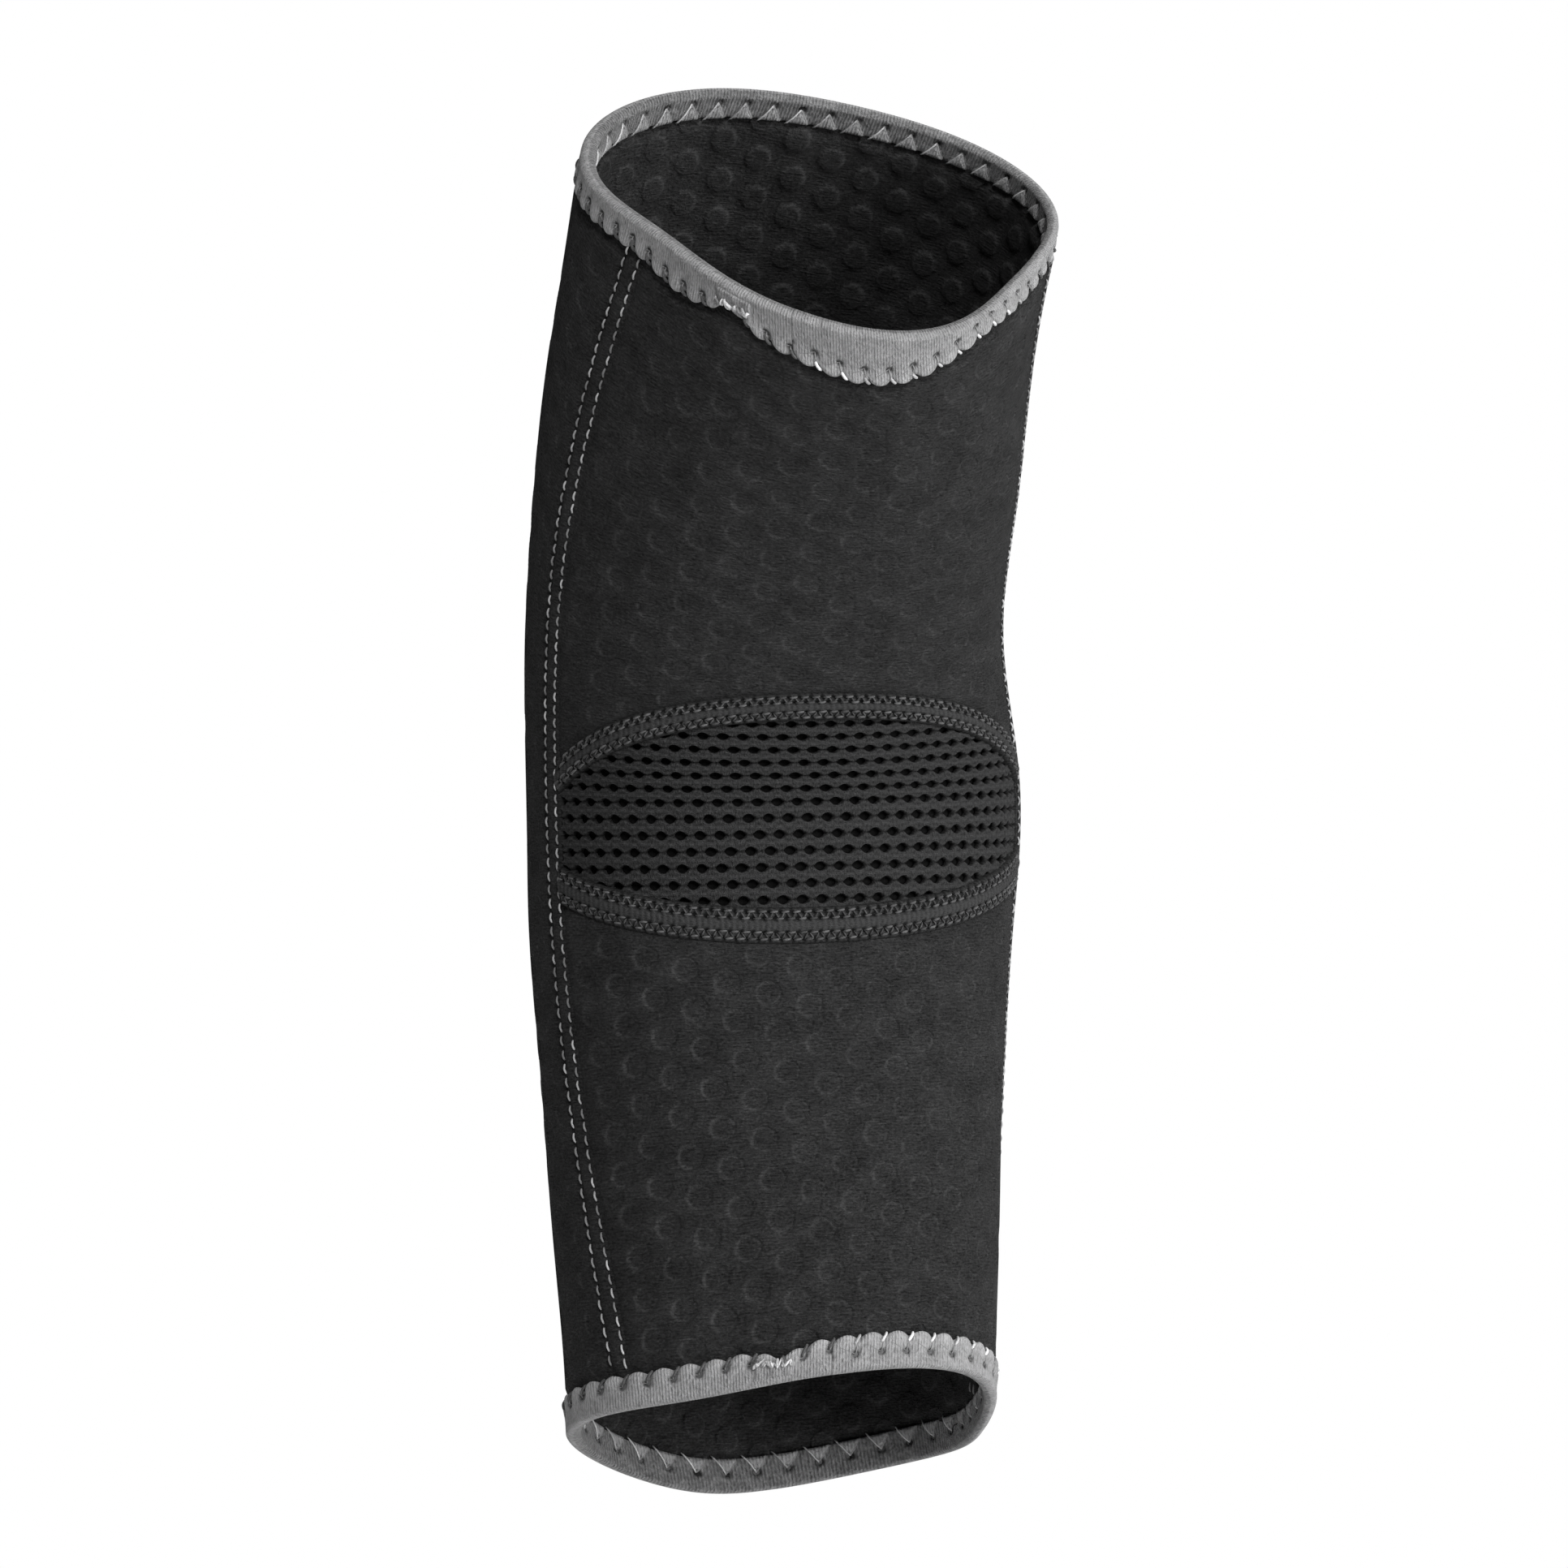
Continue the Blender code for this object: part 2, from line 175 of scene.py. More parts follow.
def section(s, theta):
    sine, cosine = np.sin(theta), np.cos(theta)
    power = 2 / np.where(cosine > 0, FRONT_SQUARENESS, BACK_SQUARENESS)
    depth = np.where(cosine > 0, -along(FRONT_DEPTHS, s), along(BACK_DEPTHS, s))
    x = np.sign(sine) * np.abs(sine) ** power * along(HALF_WIDTHS, s)
    q = depth * np.abs(cosine) ** power
    right = np.maximum(sine, 0) ** 2
    left = np.maximum(-sine, 0) ** 2
    x = x + right * (bump(s, WAIST) + bump(s, ELBOW_SWELL)) - left * bump(s, LEFT_SWELL)
    reach = (s / HALF_LENGTH) ** 2
    egg_cos = np.where(s > 0, UPPER_EGG[0], LOWER_EGG[0]) * reach
    egg_sin = np.where(s > 0, UPPER_EGG[1], LOWER_EGG[1]) * reach
    swell = 1 + egg_cos * np.cos(3 * theta) + egg_sin * np.sin(3 * theta)
    turn = along(SECTION_TURNS, s)
    x, q = x * swell, q * swell
    return x * np.cos(turn) - q * np.sin(turn), x * np.sin(turn) + q * np.cos(turn)


def shell(s, theta, offset):
    """Points OFFSET outside the tube's outer face."""
    s, theta, offset = np.broadcast_arrays(np.float64(s), theta, offset)
    x, q = section(s, theta)
    x_up, q_up = section(s, theta + 5e-3)
    x_down, q_down = section(s, theta - 5e-3)
    run, rise = x_up - x_down, q_up - q_down
    length = np.hypot(run, rise)
    x = x + offset * rise / length
    q = q - offset * run / length
    lean = tilt(s)
    y = np.interp(s, LINE_S, LINE_Y) + q * np.cos(lean)
    z = np.interp(s, LINE_S, LINE_Z) + q * np.sin(lean)
    return np.stack([x, y, z], axis=-1)


# Length around the tube, tabulated once in both directions
MAP_S = np.linspace(-0.13, 0.12, 101)
MAP_T = np.radians(np.arange(-200, 381, 1.0))
MAP_U = np.linspace(-0.16, 0.33, 1226)


def around_tables():
    points = shell(MAP_S[:, None], MAP_T[None, :], 0)
    runs = np.linalg.norm(np.diff(points, axis=1), axis=2)
    lengths = np.concatenate([np.zeros((len(MAP_S), 1)), np.cumsum(runs, axis=1)], axis=1)
    zero = np.argmin(np.abs(MAP_T))
    lengths -= lengths[:, zero:zero + 1]
    angles = np.stack([np.interp(MAP_U, row, MAP_T) for row in lengths])
    return lengths, angles


MAP_LENGTHS, MAP_ANGLES = around_tables()


def look_up(table, first, second, s, other):
    """Bilinear reading of TABLE, whose rows are at FIRST and columns at SECOND."""
    a = np.clip((s - first[0]) / (first[1] - first[0]), 0, len(first) - 1.001)
    b = np.clip((other - second[0]) / (second[1] - second[0]), 0, len(second) - 1.001)
    i, j = a.astype(int), b.astype(int)
    a, b = a - i, b - j
    low = table[i, j] * (1 - b) + table[i, j + 1] * b
    high = table[i + 1, j] * (1 - b) + table[i + 1, j + 1] * b
    return low * (1 - a) + high * a


def length_at(s, theta):
    s, theta = np.broadcast_arrays(np.float64(s), np.float64(theta))
    return look_up(MAP_LENGTHS, MAP_S, MAP_T, s, theta)


def angle_at(s, u):
    s, u = np.broadcast_arrays(np.float64(s), np.float64(u))
    return look_up(MAP_ANGLES, MAP_S, MAP_U, s, u)


def seam_angle(side, s):
    powers = LEFT_SEAM if side < 0 else RIGHT_SEAM
    return side * np.polyval(powers[::-1], np.clip(s / HALF_LENGTH, -1.05, 1.05))


def beside_seam(side, s, distance):
    """Angle at DISTANCE from the seam's middle line, away from the crook."""
    s = np.float64(s)
    return angle_at(s, length_at(s, seam_angle(side, s)) + side * distance)


def front_angle(p, s, inset=SEAM_WIDTH / 2):
    left = beside_seam(-1, s, -inset)
    right = beside_seam(1, s, -inset)
    return left + (right - left) * (p + 1) / 2


def back_angle(p, s):
    right = beside_seam(1, s, SEAM_WIDTH / 2)
    left = TURN + beside_seam(-1, s, SEAM_WIDTH / 2)
    return right + (left - right) * (p + 1) / 2


def rim_wave(theta, lift, waves):
    turns = np.arange(1, len(waves) + 1)
    cosines, sines = np.array(waves).T
    angles = np.multiply.outer(theta, turns)
    return lift + np.cos(angles) @ cosines + np.sin(angles) @ sines


def top_rim(theta):
    return HALF_LENGTH + rim_wave(theta, TOP_RIM_LIFT, TOP_RIM_WAVES)


def bottom_rim(theta):
    return -HALF_LENGTH + rim_wave(theta, BOTTOM_RIM_LIFT, BOTTOM_RIM_WAVES)


def wrapped(angle):
    return (angle + math.pi) % TURN - math.pi


def hill(theta, place, spread):
    """1 at the angle PLACE, falling off within SPREAD, both in degrees."""
    return hump(wrapped(theta - math.radians(place)), math.radians(spread))


def top_reach(theta):
    """Depth of the top binding's outer leg: deepest at the front, notched where its ends join."""
    swell = hump(wrapped(theta - TOP_REACH_PLACE), TOP_REACH_SPREAD)
    beside = 1.9 * MM * hill(theta, -31, 13) - 1.3 * MM * hill(theta, 50, 14)
    return TOP_REACH + TOP_REACH_SWELL * swell + beside - 2.3 * MM * hill(theta, -14, 4.5)


def bottom_reach(theta):
    notch = 1.5 * MM * hill(theta, -12, 5)
    return BOTTOM_REACH + 0.4 * MM * hill(theta, 10, 14) - notch


def tape_line(tape, p):
    height, drop, slant = tape
    return height - drop * p * p + slant * p


def upper_tape_bottom(p):
    return tape_line(UPPER_TAPE, p) - UPPER_TAPE_WIDTH


def lower_tape_top(p):
    return tape_line(LOWER_TAPE, p) + LOWER_TAPE_WIDTH


def smooth(x):
    x = np.clip(x, 0, 1)
    return x * x * (3 - 2 * x)


def unit_grid(rows, columns):
    """Two grids: from 0 to 1 down the rows, and from -1 to 1 along the columns."""
    return np.meshgrid(np.linspace(0, 1, rows), np.linspace(-1, 1, columns), indexing="ij")


# ---------------------------------------------------------------- meshes

def add_mesh(name, points, faces, material, cloth=None, marks=None, disc_map=None):
    """A mesh object from arrays. CLOTH is its U and V in metres, MARKS its named point values,
    and DISC_MAP its places on a dot lattice. Both maps are kept in millimetres.
    """
    mesh = bpy.data.meshes.new(name)
    points = np.asarray(points, dtype=np.float32)
    mesh.vertices.add(len(points))
    mesh.vertices.foreach_set("co", points.ravel())
    corners = np.concatenate([np.asarray(part).ravel() for part in faces])
    sizes = np.concatenate([np.full(len(part), np.asarray(part).shape[1]) for part in faces])
    starts = np.concatenate([[0], np.cumsum(sizes)[:-1]])
    mesh.loops.add(len(corners))
    mesh.loops.foreach_set("vertex_index", corners.astype(np.int32))
    mesh.polygons.add(len(sizes))
    mesh.polygons.foreach_set("loop_start", starts.astype(np.int32))
    mesh.update(calc_edges=True)
    mesh.validate()
    for layer_name, flat in (("cloth", cloth), ("disc", disc_map)):
        if flat is not None:
            layer = mesh.uv_layers.new(name=layer_name)
            values = np.asarray(flat, dtype=np.float32)[corners] * 1000
            layer.data.foreach_set("uv", values.ravel())
    for mark, values in (marks or {}).items():
        layer = mesh.attributes.new(mark, "FLOAT", "POINT")
        layer.data.foreach_set("value", np.asarray(values, dtype=np.float32).ravel())
    mesh.shade_smooth()
    mesh.materials.append(material)
    piece = bpy.data.objects.new(name, mesh)
    bpy.context.scene.collection.objects.link(piece)
    return piece


def grid_quads(rows, columns, first=0, closed=False, flip=False):
    i, j = np.meshgrid(np.arange(rows - 1), np.arange(columns if closed else columns - 1),
                       indexing="ij")
    k = (j + 1) % columns
    quads = np.stack([i * columns + j, i * columns + k, (i + 1) * columns + k,
                      (i + 1) * columns + j], axis=-1).reshape(-1, 4) + first
    return quads[:, ::-1] if flip else quads


def rim_quads(rows, columns):
    """Faces that close two stacked grids of the same size along their edges."""
    total = rows * columns
    j = np.arange(columns - 1)
    low = np.stack([j + total, j + 1 + total, j + 1, j], axis=-1)
    j = j + (rows - 1) * columns
    high = np.stack([j, j + 1, j + 1 + total, j + total], axis=-1)
    i = np.arange(rows - 1) * columns
    left = np.stack([i, i + columns, i + columns + total, i + total], axis=-1)
    i = i + columns - 1
    right = np.stack([i + total, i + columns + total, i + columns, i], axis=-1)
    return np.concatenate([low, high, left, right])


def slab(name, s, theta, outer, inner, material, marks=None, disc_map=None):
    """A closed piece of wall between the offsets OUTER and INNER over a grid of S and THETA."""
    rows, columns = s.shape
    outside = shell(s, theta, outer).reshape(-1, 3)
    inside = shell(s, theta, inner).reshape(-1, 3)
    u = length_at(s, theta)
    cloth = np.stack([u, s], axis=-1).reshape(-1, 2)
    faces = [grid_quads(rows, columns), grid_quads(rows, columns, rows * columns, flip=True),
             rim_quads(rows, columns)]
    all_marks = {}
    for mark, (on_outer, on_inner) in (marks or {}).items():
        pair = [np.broadcast_to(part, s.shape).ravel() for part in (on_outer, on_inner)]
        all_marks[mark] = np.concatenate(pair)
    piece = add_mesh(name, np.concatenate([outside, inside]), faces, material,
                     np.concatenate([cloth, cloth]), all_marks,
                     None if disc_map is None else np.tile(disc_map.reshape(-1, 2), (2, 1)))
    piece.data.set_sharp_from_angle(angle=CREASE)
    return piece


class Threads:
    """Many short round threads gathered into one mesh."""

    def __init__(self):
        self.points, self.faces, self.tones, self.count = [], [], [], 0

    def add(self, path, radius, sides, tone, taper=0.6):
        path = np.asarray(path, dtype=float)
        count = len(path)
        along_path = np.gradient(path, axis=0)
        along_path /= np.linalg.norm(along_path, axis=1, keepdims=True) + 1e-12
        normal = np.cross(along_path, (0.3, 0.5, 0.81))
        normal = normal / (np.linalg.norm(normal, axis=1, keepdims=True) + 1e-12)
        side = np.cross(along_path, normal)
        place = np.linspace(-1, 1, count)
        width = radius * (taper + (1 - taper) * np.sqrt(np.clip(1 - place ** 4, 0, 1)))
        turn = np.arange(sides) * TURN / sides
        ring = (side[:, None] * np.cos(turn)[None, :, None]
                + normal[:, None] * np.sin(turn)[None, :, None])
        points = path[:, None] + ring * width[:, None, None]
        ends = np.stack([path[0], path[-1]])
        base = self.count
        self.points.append(np.concatenate([points.reshape(-1, 3), ends]))
        self.faces.append(grid_quads(count, sides, base, closed=True, flip=True))
        j = np.arange(sides)
        k = (j + 1) % sides
        first_end = base + count * sides
        last = base + (count - 1) * sides
        self.faces.append(np.stack([j + base, k + base, np.full(sides, first_end)], axis=-1))
        self.faces.append(np.stack([k + last, j + last, np.full(sides, first_end + 1)], axis=-1))
        self.tones.append(np.full(count * sides + 2, tone))
        self.count += count * sides + 2

    def build(self, name, material):
        points = np.concatenate(self.points)
        quads = np.concatenate([part for part in self.faces if part.shape[1] == 4])
        fans = np.concatenate([part for part in self.faces if part.shape[1] == 3])
        cloth = points[:, [0, 2]]
        return add_mesh(name, points, [quads, fans], material, cloth,
                        {"tone": np.concatenate(self.tones)})


# ---------------------------------------------------------------- materials

class Look:
    """A Principled material with short ways to add noise, colour and bump nodes."""

    def __init__(self, name, roughness=0.9):
        self.material = bpy.data.materials.new(name)
        self.material.use_nodes = True
        self.tree = self.material.node_tree
        self.shader = self.tree.nodes["Principled BSDF"]
        self.shader.inputs["Roughness"].default_value = roughness
        self.uv = self.node("ShaderNodeUVMap")
        self.uv.uv_map = "cloth"
        self.normal = None

    def node(self, kind, inputs=None, **values):
        """A new node with these input values and settings."""
        made = self.tree.nodes.new(kind)
        for key, value in values.items():
            setattr(made, key, value)
        for key, value in (inputs or {}).items():
            made.inputs[key].default_value = value
        return made

    def link(self, source, target):
        self.tree.links.new(source, target)

    def scaled(self, x, y):
        mapping = self.node("ShaderNodeMapping", {"Scale": (x, y, 1)})
        self.link(self.uv.outputs["UV"], mapping.inputs["Vector"])
        return mapping.outputs["Vector"]

    def noise(self, x, y, detail=3.0, roughness=0.55, distortion=0.0):
        made = self.node("ShaderNodeTexNoise", {"Scale": 1.0, "Detail": detail,
                                                "Roughness": roughness, "Distortion": distortion})
        self.link(self.scaled(x, y), made.inputs["Vector"])
        return made.outputs["Fac"]

    def wave(self, x, y, distortion=0.0, detail_scale=1.0):
        made = self.node("ShaderNodeTexWave", {"Scale": 1.0, "Distortion": distortion,
                                               "Detail Scale": detail_scale},
                         wave_type="BANDS", bands_direction="X")
        self.link(self.scaled(x, y), made.inputs["Vector"])
        return made.outputs["Fac"]

    def mark(self, name):
        made = self.node("ShaderNodeAttribute", attribute_name=name)
        return made.outputs["Fac"]

    def math(self, operation, first, second=None, third=None):
        made = self.node("ShaderNodeMath", operation=operation)
        for index, value in enumerate((first, second, third)):
            if value is None:
                continue
            if isinstance(value, (int, float)):
                made.inputs[index].default_value = value
            else:
                self.link(value, made.inputs[index])
        return made.outputs[0]

    def weighted(self, *terms):
        """The sum of some values, each times its weight."""
        total = self.math("MULTIPLY", *terms[0])
        for value, weight in terms[1:]:
            total = self.math("MULTIPLY_ADD", value, weight, total)
        return total

    def span(self, value, low, high, to_low=0.0, to_high=1.0):
        made = self.node("ShaderNodeMapRange", {"From Min": low, "From Max": high,
                                                "To Min": to_low, "To Max": to_high})
        self.link(value, made.inputs["Value"])
        return made.outputs["Result"]

    def colour(self, value, stops):
        made = self.node("ShaderNodeValToRGB")
        ramp = made.color_ramp
        while len(ramp.elements) < len(stops):
            ramp.elements.new(0.5)
        for element, (place, tone) in zip(ramp.elements, stops):
            element.position = place
            element.color = (tone, tone, tone * 1.01, 1)
        self.link(value, made.inputs["Fac"])
        self.link(made.outputs["Color"], self.shader.inputs["Base Color"])

    def bump(self, value, distance):
        made = self.node("ShaderNodeBump", {"Strength": 1.0, "Distance": distance})
        self.link(value, made.inputs["Height"])
        if self.normal is not None:
            self.link(self.normal, made.inputs["Normal"])
        self.normal = made.outputs["Normal"]
        self.link(self.normal, self.shader.inputs["Normal"])

    def discs(self):
        """Distance in mm to the nearest disc of a triangular lattice laid by the "disc" map."""
        lattice = self.node("ShaderNodeUVMap")
        lattice.uv_map = "disc"
        split = self.node("ShaderNodeSeparateXYZ")
        self.link(lattice.outputs["UV"], split.inputs["Vector"])
        pitch = DOT_PITCH / MM
        row = pitch * math.sqrt(3)
        nearest = None
        for shift in (0.0, 0.5):
            x = self.math("PINGPONG", self.math("ADD", split.outputs["X"],
                                                (shift + 40) * pitch), pitch)
            y = self.math("PINGPONG", self.math("ADD", split.outputs["Y"],
                                                (shift + 40) * row), row)
            x = self.math("MINIMUM", x, self.math("SUBTRACT", pitch, x))
            y = self.math("MINIMUM", y, self.math("SUBTRACT", row, y))
            far = self.math("SQRT", self.math("MULTIPLY_ADD", x, x, self.math("MULTIPLY", y, y)))
            nearest = far if nearest is None else self.math("MINIMUM", nearest, far)
        return nearest

    def surface(self, specular, sheen=0.0, sheen_roughness=0.5, sheen_tone=1.0):
        """Sets how the cloth catches the light, and gives the finished material."""
        inputs = self.shader.inputs
        inputs["Specular IOR Level"].default_value = specular
        inputs["Sheen Weight"].default_value = sheen
        inputs["Sheen Roughness"].default_value = sheen_roughness
        inputs["Sheen Tint"].default_value = (sheen_tone, sheen_tone, sheen_tone, 1)
        return self.material


def knit_look():
    """Brushed black knit with embossed dots: grain, fine streaks across, and a painted highlight
    round each dot's rim.
    """
    look = Look("brushed_knit", 0.95)
    grain = look.noise(1.7, 2.6, 3.0, 0.7)
    streaks = look.noise(0.5, 3.0, 2.0, 0.55, 0.3)
    mottle = look.noise(0.12, 0.18, 2.0, 0.5)
    wobble = look.math("MULTIPLY_ADD", look.noise(0.8, 0.8, 1.0), 0.5, -0.25)
    far = look.math("ADD", look.discs(), wobble)
    radius = DOT_RADIUS / MM
    disc = look.node("ShaderNodeMapRange", {"From Min": radius + DISC_SOFTNESS,
                                            "From Max": radius - DISC_SOFTNESS},
                     interpolation_type="SMOOTHSTEP")
    look.link(far, disc.inputs["Value"])
    height = look.math("MULTIPLY", disc.outputs["Result"], look.mark("emboss"))
    # Painted highlight: the cloth is made paler in a thin ring round each embossed dot's edge.
    from_rim = look.math("ABSOLUTE", look.math("SUBTRACT", far, radius - 0.15))
    rim = look.span(from_rim, 0.0, 0.5, 1.0, 0.0)
    rim = look.math("MULTIPLY", rim, look.math("ABSOLUTE", look.mark("emboss")))
    tone = look.weighted((mottle, 0.35), (grain, 1.0), (streaks, 0.60), (rim, 0.16))
    look.colour(look.span(tone, 0.72, 1.36), [(0.0, 0.0035), (0.5, 0.01935), (1.0, 0.043)])
    look.bump(height, 0.32 * MM)
    look.bump(grain, 0.50 * MM)
    look.bump(streaks, 0.35 * MM)
    return look.surface(0.06, 0.05, 0.5, 0.35)


def mesh_look():
    look = Look("mesh_knit", 0.9)
    yarn = look.noise(2.6, 1.6, 3.0, 0.6)
    fine = look.noise(5.0, 5.0, 1.0, 0.5)
    # The ridge mark paints light on the mesh's ridges and shade in its grooves and round its holes.
    look.colour(look.weighted((yarn, 0.9), (look.mark("ridge"), 0.55)),
                [(0.35, 0.0018), (1.05, 0.035)])
    look.bump(yarn, 0.45 * MM)
    look.bump(fine, 0.20 * MM)
    return look.surface(0.06, 0.05, 0.5, 0.35)


def shade_backing_look():
    look = Look("mesh_shade_backing", 0.95)
    # Painted shade: a near-black sheet that stands in for the dark seen through the mesh's holes.
    look.colour(look.noise(1.5, 1.5), [(0.3, 0.0008), (0.8, 0.003)])
    look.bump(look.noise(3.0, 3.0), 0.20 * MM)
    return look.surface(0.1)


def band_look():
    """Seam band of the mesh: a plain knit, with painted shade at its edges, in the pits along its
    stitching and in its channels.
    """
    look = Look("seam_band", 0.9)
    yarn = look.noise(1.6, 4.0, 3.0, 0.6)
    # The ridge mark carries the band's painted shade and light.
    look.colour(look.weighted((yarn, 0.9), (look.mark("ridge"), 0.6)),
                [(0.35, 0.0015), (1.05, 0.034)])
    look.bump(yarn, 0.50 * MM)
    return look.surface(0.06, 0.05, 0.5, 0.35)


def thread_look(name, dark, light):
    look = Look(name, 0.7)
    twist = look.noise(4.0, 4.0, 2.0, 0.6)
    middle = dark + 0.2 * (light - dark)
    look.colour(look.weighted((look.mark("tone"), 0.8), (twist, 0.35)),
                [(0.15, dark), (0.5, middle), (0.95, light)])
    look.bump(twist, 0.15 * MM)
    return look.surface(0.25, 0.15, 0.4, 0.6)


def binding_look():
    """Grey heathered stretch tape with fine ribs across it."""
    look = Look("binding_knit", 0.85)
    ribs = look.wave(0.65, 0.02, 0.8, 2.0)
    heather = look.noise(2.2, 1.3, 3.0, 0.7)
    mottle = look.noise(0.45, 0.35, 2.0, 0.5)
    # The tone mark carries the painted light and shade of the binding tape's relief.
    tone = look.weighted((mottle, 0.40), (heather, 0.90), (ribs, 0.09), (look.mark("tone"), 1.1))
    look.colour(look.span(tone, 0.55, 1.62), [(0.0, 0.006), (0.45, 0.085), (1.0, 0.28)])
    look.bump(ribs, 0.12 * MM)
    look.bump(heather, 0.50 * MM)
    return look.surface(0.2, 0.3, 0.4, 0.5)


def build_looks():
    return {"knit": knit_look(),
            "mesh": mesh_look(),
            "shade_backing": shade_backing_look(),
            "tape": band_look(),
            "cover_thread": thread_look("cover_thread", 0.012, 0.085),
            "seam_thread": thread_look("seam_thread", 0.07, 0.50),
            "binding_thread": thread_look("binding_thread", 0.035, 0.80),
            "binding": binding_look()}


LOOKS = build_looks()


# ---------------------------------------------------------------- panels

def dot_lattice(u, v, origin, angle):
    """A dot lattice's own flat coordinates, in metres."""
    x = (u - origin[0]) * math.cos(angle) + (v - origin[1]) * math.sin(angle)
    y = -(u - origin[0]) * math.sin(angle) + (v - origin[1]) * math.cos(angle)
    return np.stack([x, y], axis=-1)


def dot_distance(lattice):
    """Distance to the nearest dot of a triangular lattice."""
    row = DOT_PITCH * math.sqrt(3)
    nearest = np.full(lattice.shape[:-1], 1.0)
    for shift in (0.0, 0.5):
        dx = lattice[..., 0] - shift * DOT_PITCH
        dy = lattice[..., 1] - shift * row
        dx = dx - DOT_PITCH * np.round(dx / DOT_PITCH)
        dy = dy - row * np.round(dy / row)
        nearest = np.minimum(nearest, np.hypot(dx, dy))
    return nearest


def dot_relief(distance):
    """Height of an embossed dot, from 0 on the cloth to 1 at its middle."""
    disc = smooth((DOT_RADIUS + DOT_EDGE / 2 - distance) / DOT_EDGE)
    return disc - 0.18 * np.clip(1 - (distance / DOT_RADIUS) ** 2, 0, 1)


def ripples(u, v):
    """Slow waves of a soft wall, in metres."""
    return 0.10 * MM * (np.sin(u * 210 + 3 * np.sin(v * 37)) * np.sin(v * 61 + 1.3)
                        + 0.7 * np.sin(v * 140 + 2 * np.sin(u * 55 + 0.6)))


def edge_dip(distance, depth, spread):
    return -depth * np.exp(-np.clip(distance, 0, 1) / spread)


def pinch(s, theta, inside=False):
    """How far a face of the wall sinks near a rim, under the binding."""
    top = TOP_INNER_REACH if inside else top_reach(theta)
    bottom = BOTTOM_INNER_REACH if inside else bottom_reach(theta)
    clear = np.minimum(top_rim(theta) - s - top, s - bottom_rim(theta) - bottom)
    return EDGE_PINCH * smooth((2.6 * MM - clear) / (2.4 * MM))


def front_panel(name, low, high, counts, origin, angle, strength, tape_side):
    t, p = unit_grid(*counts)
    s = 0 * t
    for _ in range(4):
        theta = front_angle(p, s)
        bottom = low(p, theta)
        top = high(p, theta)
        s = bottom + (top - bottom) * t
    u = length_at(s, theta)
    left = u - length_at(s, front_angle(-1.0, s))
    right = length_at(s, front_angle(1.0, s)) - u
    to_tape = (s - bottom) if tape_side < 0 else (top - s)
    lattice = dot_lattice(u, s, origin, angle)
    disc = dot_relief(dot_distance(lattice))
    fade = smooth((np.minimum(left, right) - 1 * MM) / (3 * MM)) * smooth(to_tape / (3 * MM))
    outer = ripples(u, s) - strength * DOT_DEPTH * disc * fade
    outer = outer + edge_dip(np.minimum(left, right), 0.45 * MM, 1.0 * MM)
    outer = outer + edge_dip(to_tape, 0.45 * MM, 1.0 * MM) - pinch(s, theta)
    inner = -WALL + ripples(u, s) + pinch(s, theta, inside=True)
    inner = inner - INNER_DOT_RISE * disc * fade
    return slab(name, s, theta, outer, inner, LOOKS["knit"],
                {"emboss": (-strength * fade, fade)}, disc_map=lattice)


def build_front_panels():
    upper = front_panel("front_upper_cloth", lambda p, a: tape_line(UPPER_TAPE, p),
                        lambda p, a: top_rim(a), (185, 170), (2 * MM, 60 * MM),
                        math.radians(20), 0.75, -1)
    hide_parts("front_upper_panel")
    lower = front_panel("front_lower_cloth", lambda p, a: bottom_rim(a),
                        lambda p, a: tape_line(LOWER_TAPE, p), (190, 170), (1 * MM, -60 * MM),
                        math.radians(41), 1.0, 1)
    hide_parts("front_lower_panel")
    return [upper, lower]


def build_back_panel():
    t, p = unit_grid(340, 230)
    s = 0 * t
    for _ in range(4):
        theta = back_angle(p, s)
        s = bottom_rim(theta) + (top_rim(theta) - bottom_rim(theta)) * t
    u = length_at(s, theta)
    right = u - length_at(s, back_angle(-1.0, s))
    left = length_at(s, back_angle(1.0, s)) - u
    near_seam = np.minimum(left, right)
    lattice = dot_lattice(u, s, (120 * MM, 70 * MM), math.radians(24))
    disc = dot_relief(dot_distance(lattice))
    fade = smooth((near_seam - 1 * MM) / (3 * MM))
    outer = ripples(u, s) - 0.9 * DOT_DEPTH * disc * fade - pinch(s, theta)
    outer = outer + edge_dip(near_seam, 0.45 * MM, 1.0 * MM)
    inner = -WALL + ripples(u, s) - INNER_DOT_RISE * disc * fade + pinch(s, theta, inside=True)
    piece = slab("back_cloth", s, theta, outer, inner, LOOKS["knit"],
                 {"emboss": (-0.9 * fade, fade)}, disc_map=lattice)
    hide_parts("back_upper_panel", "back_elbow_panel", "back_lower_panel")
    return piece


# ---------------------------------------------------------------- mesh insert and its tapes

def mesh_cell():
    """Points round the outline of one brick of the mesh, in a cell of side 1."""
    across = np.linspace(-0.5, 0.5, 13)
    up = np.linspace(-0.5, 0.5, 9)
    outline = ([(x, -0.5) for x in across[:-1]] + [(0.5, y) for y in up[:-1]]
               + [(x, 0.5) for x in across[:0:-1]] + [(-0.5, y) for y in up[:0:-1]])
    return np.array(outline)


def mesh_height(x, y, row):
    """Relief of the mesh: wavy yarns round the holes, a plait between rows, a groove in rows."""
    phase = TURN * (x / MESH_PITCH - 0.5 * (row % 2))
    from_row = np.abs(y / MESH_ROW)
    yarn = 0.24 + 0.095 * np.cos(phase)
    ridge = hump(from_row - yarn, 0.045) + 0.45 * hump(from_row - yarn - 0.115, 0.035)
    plait = smooth((from_row - 0.36) / 0.08) * (0.75 + 0.15 * np.cos(2 * phase))
    groove = hump(from_row, 0.05)
    return ridge, plait, groove


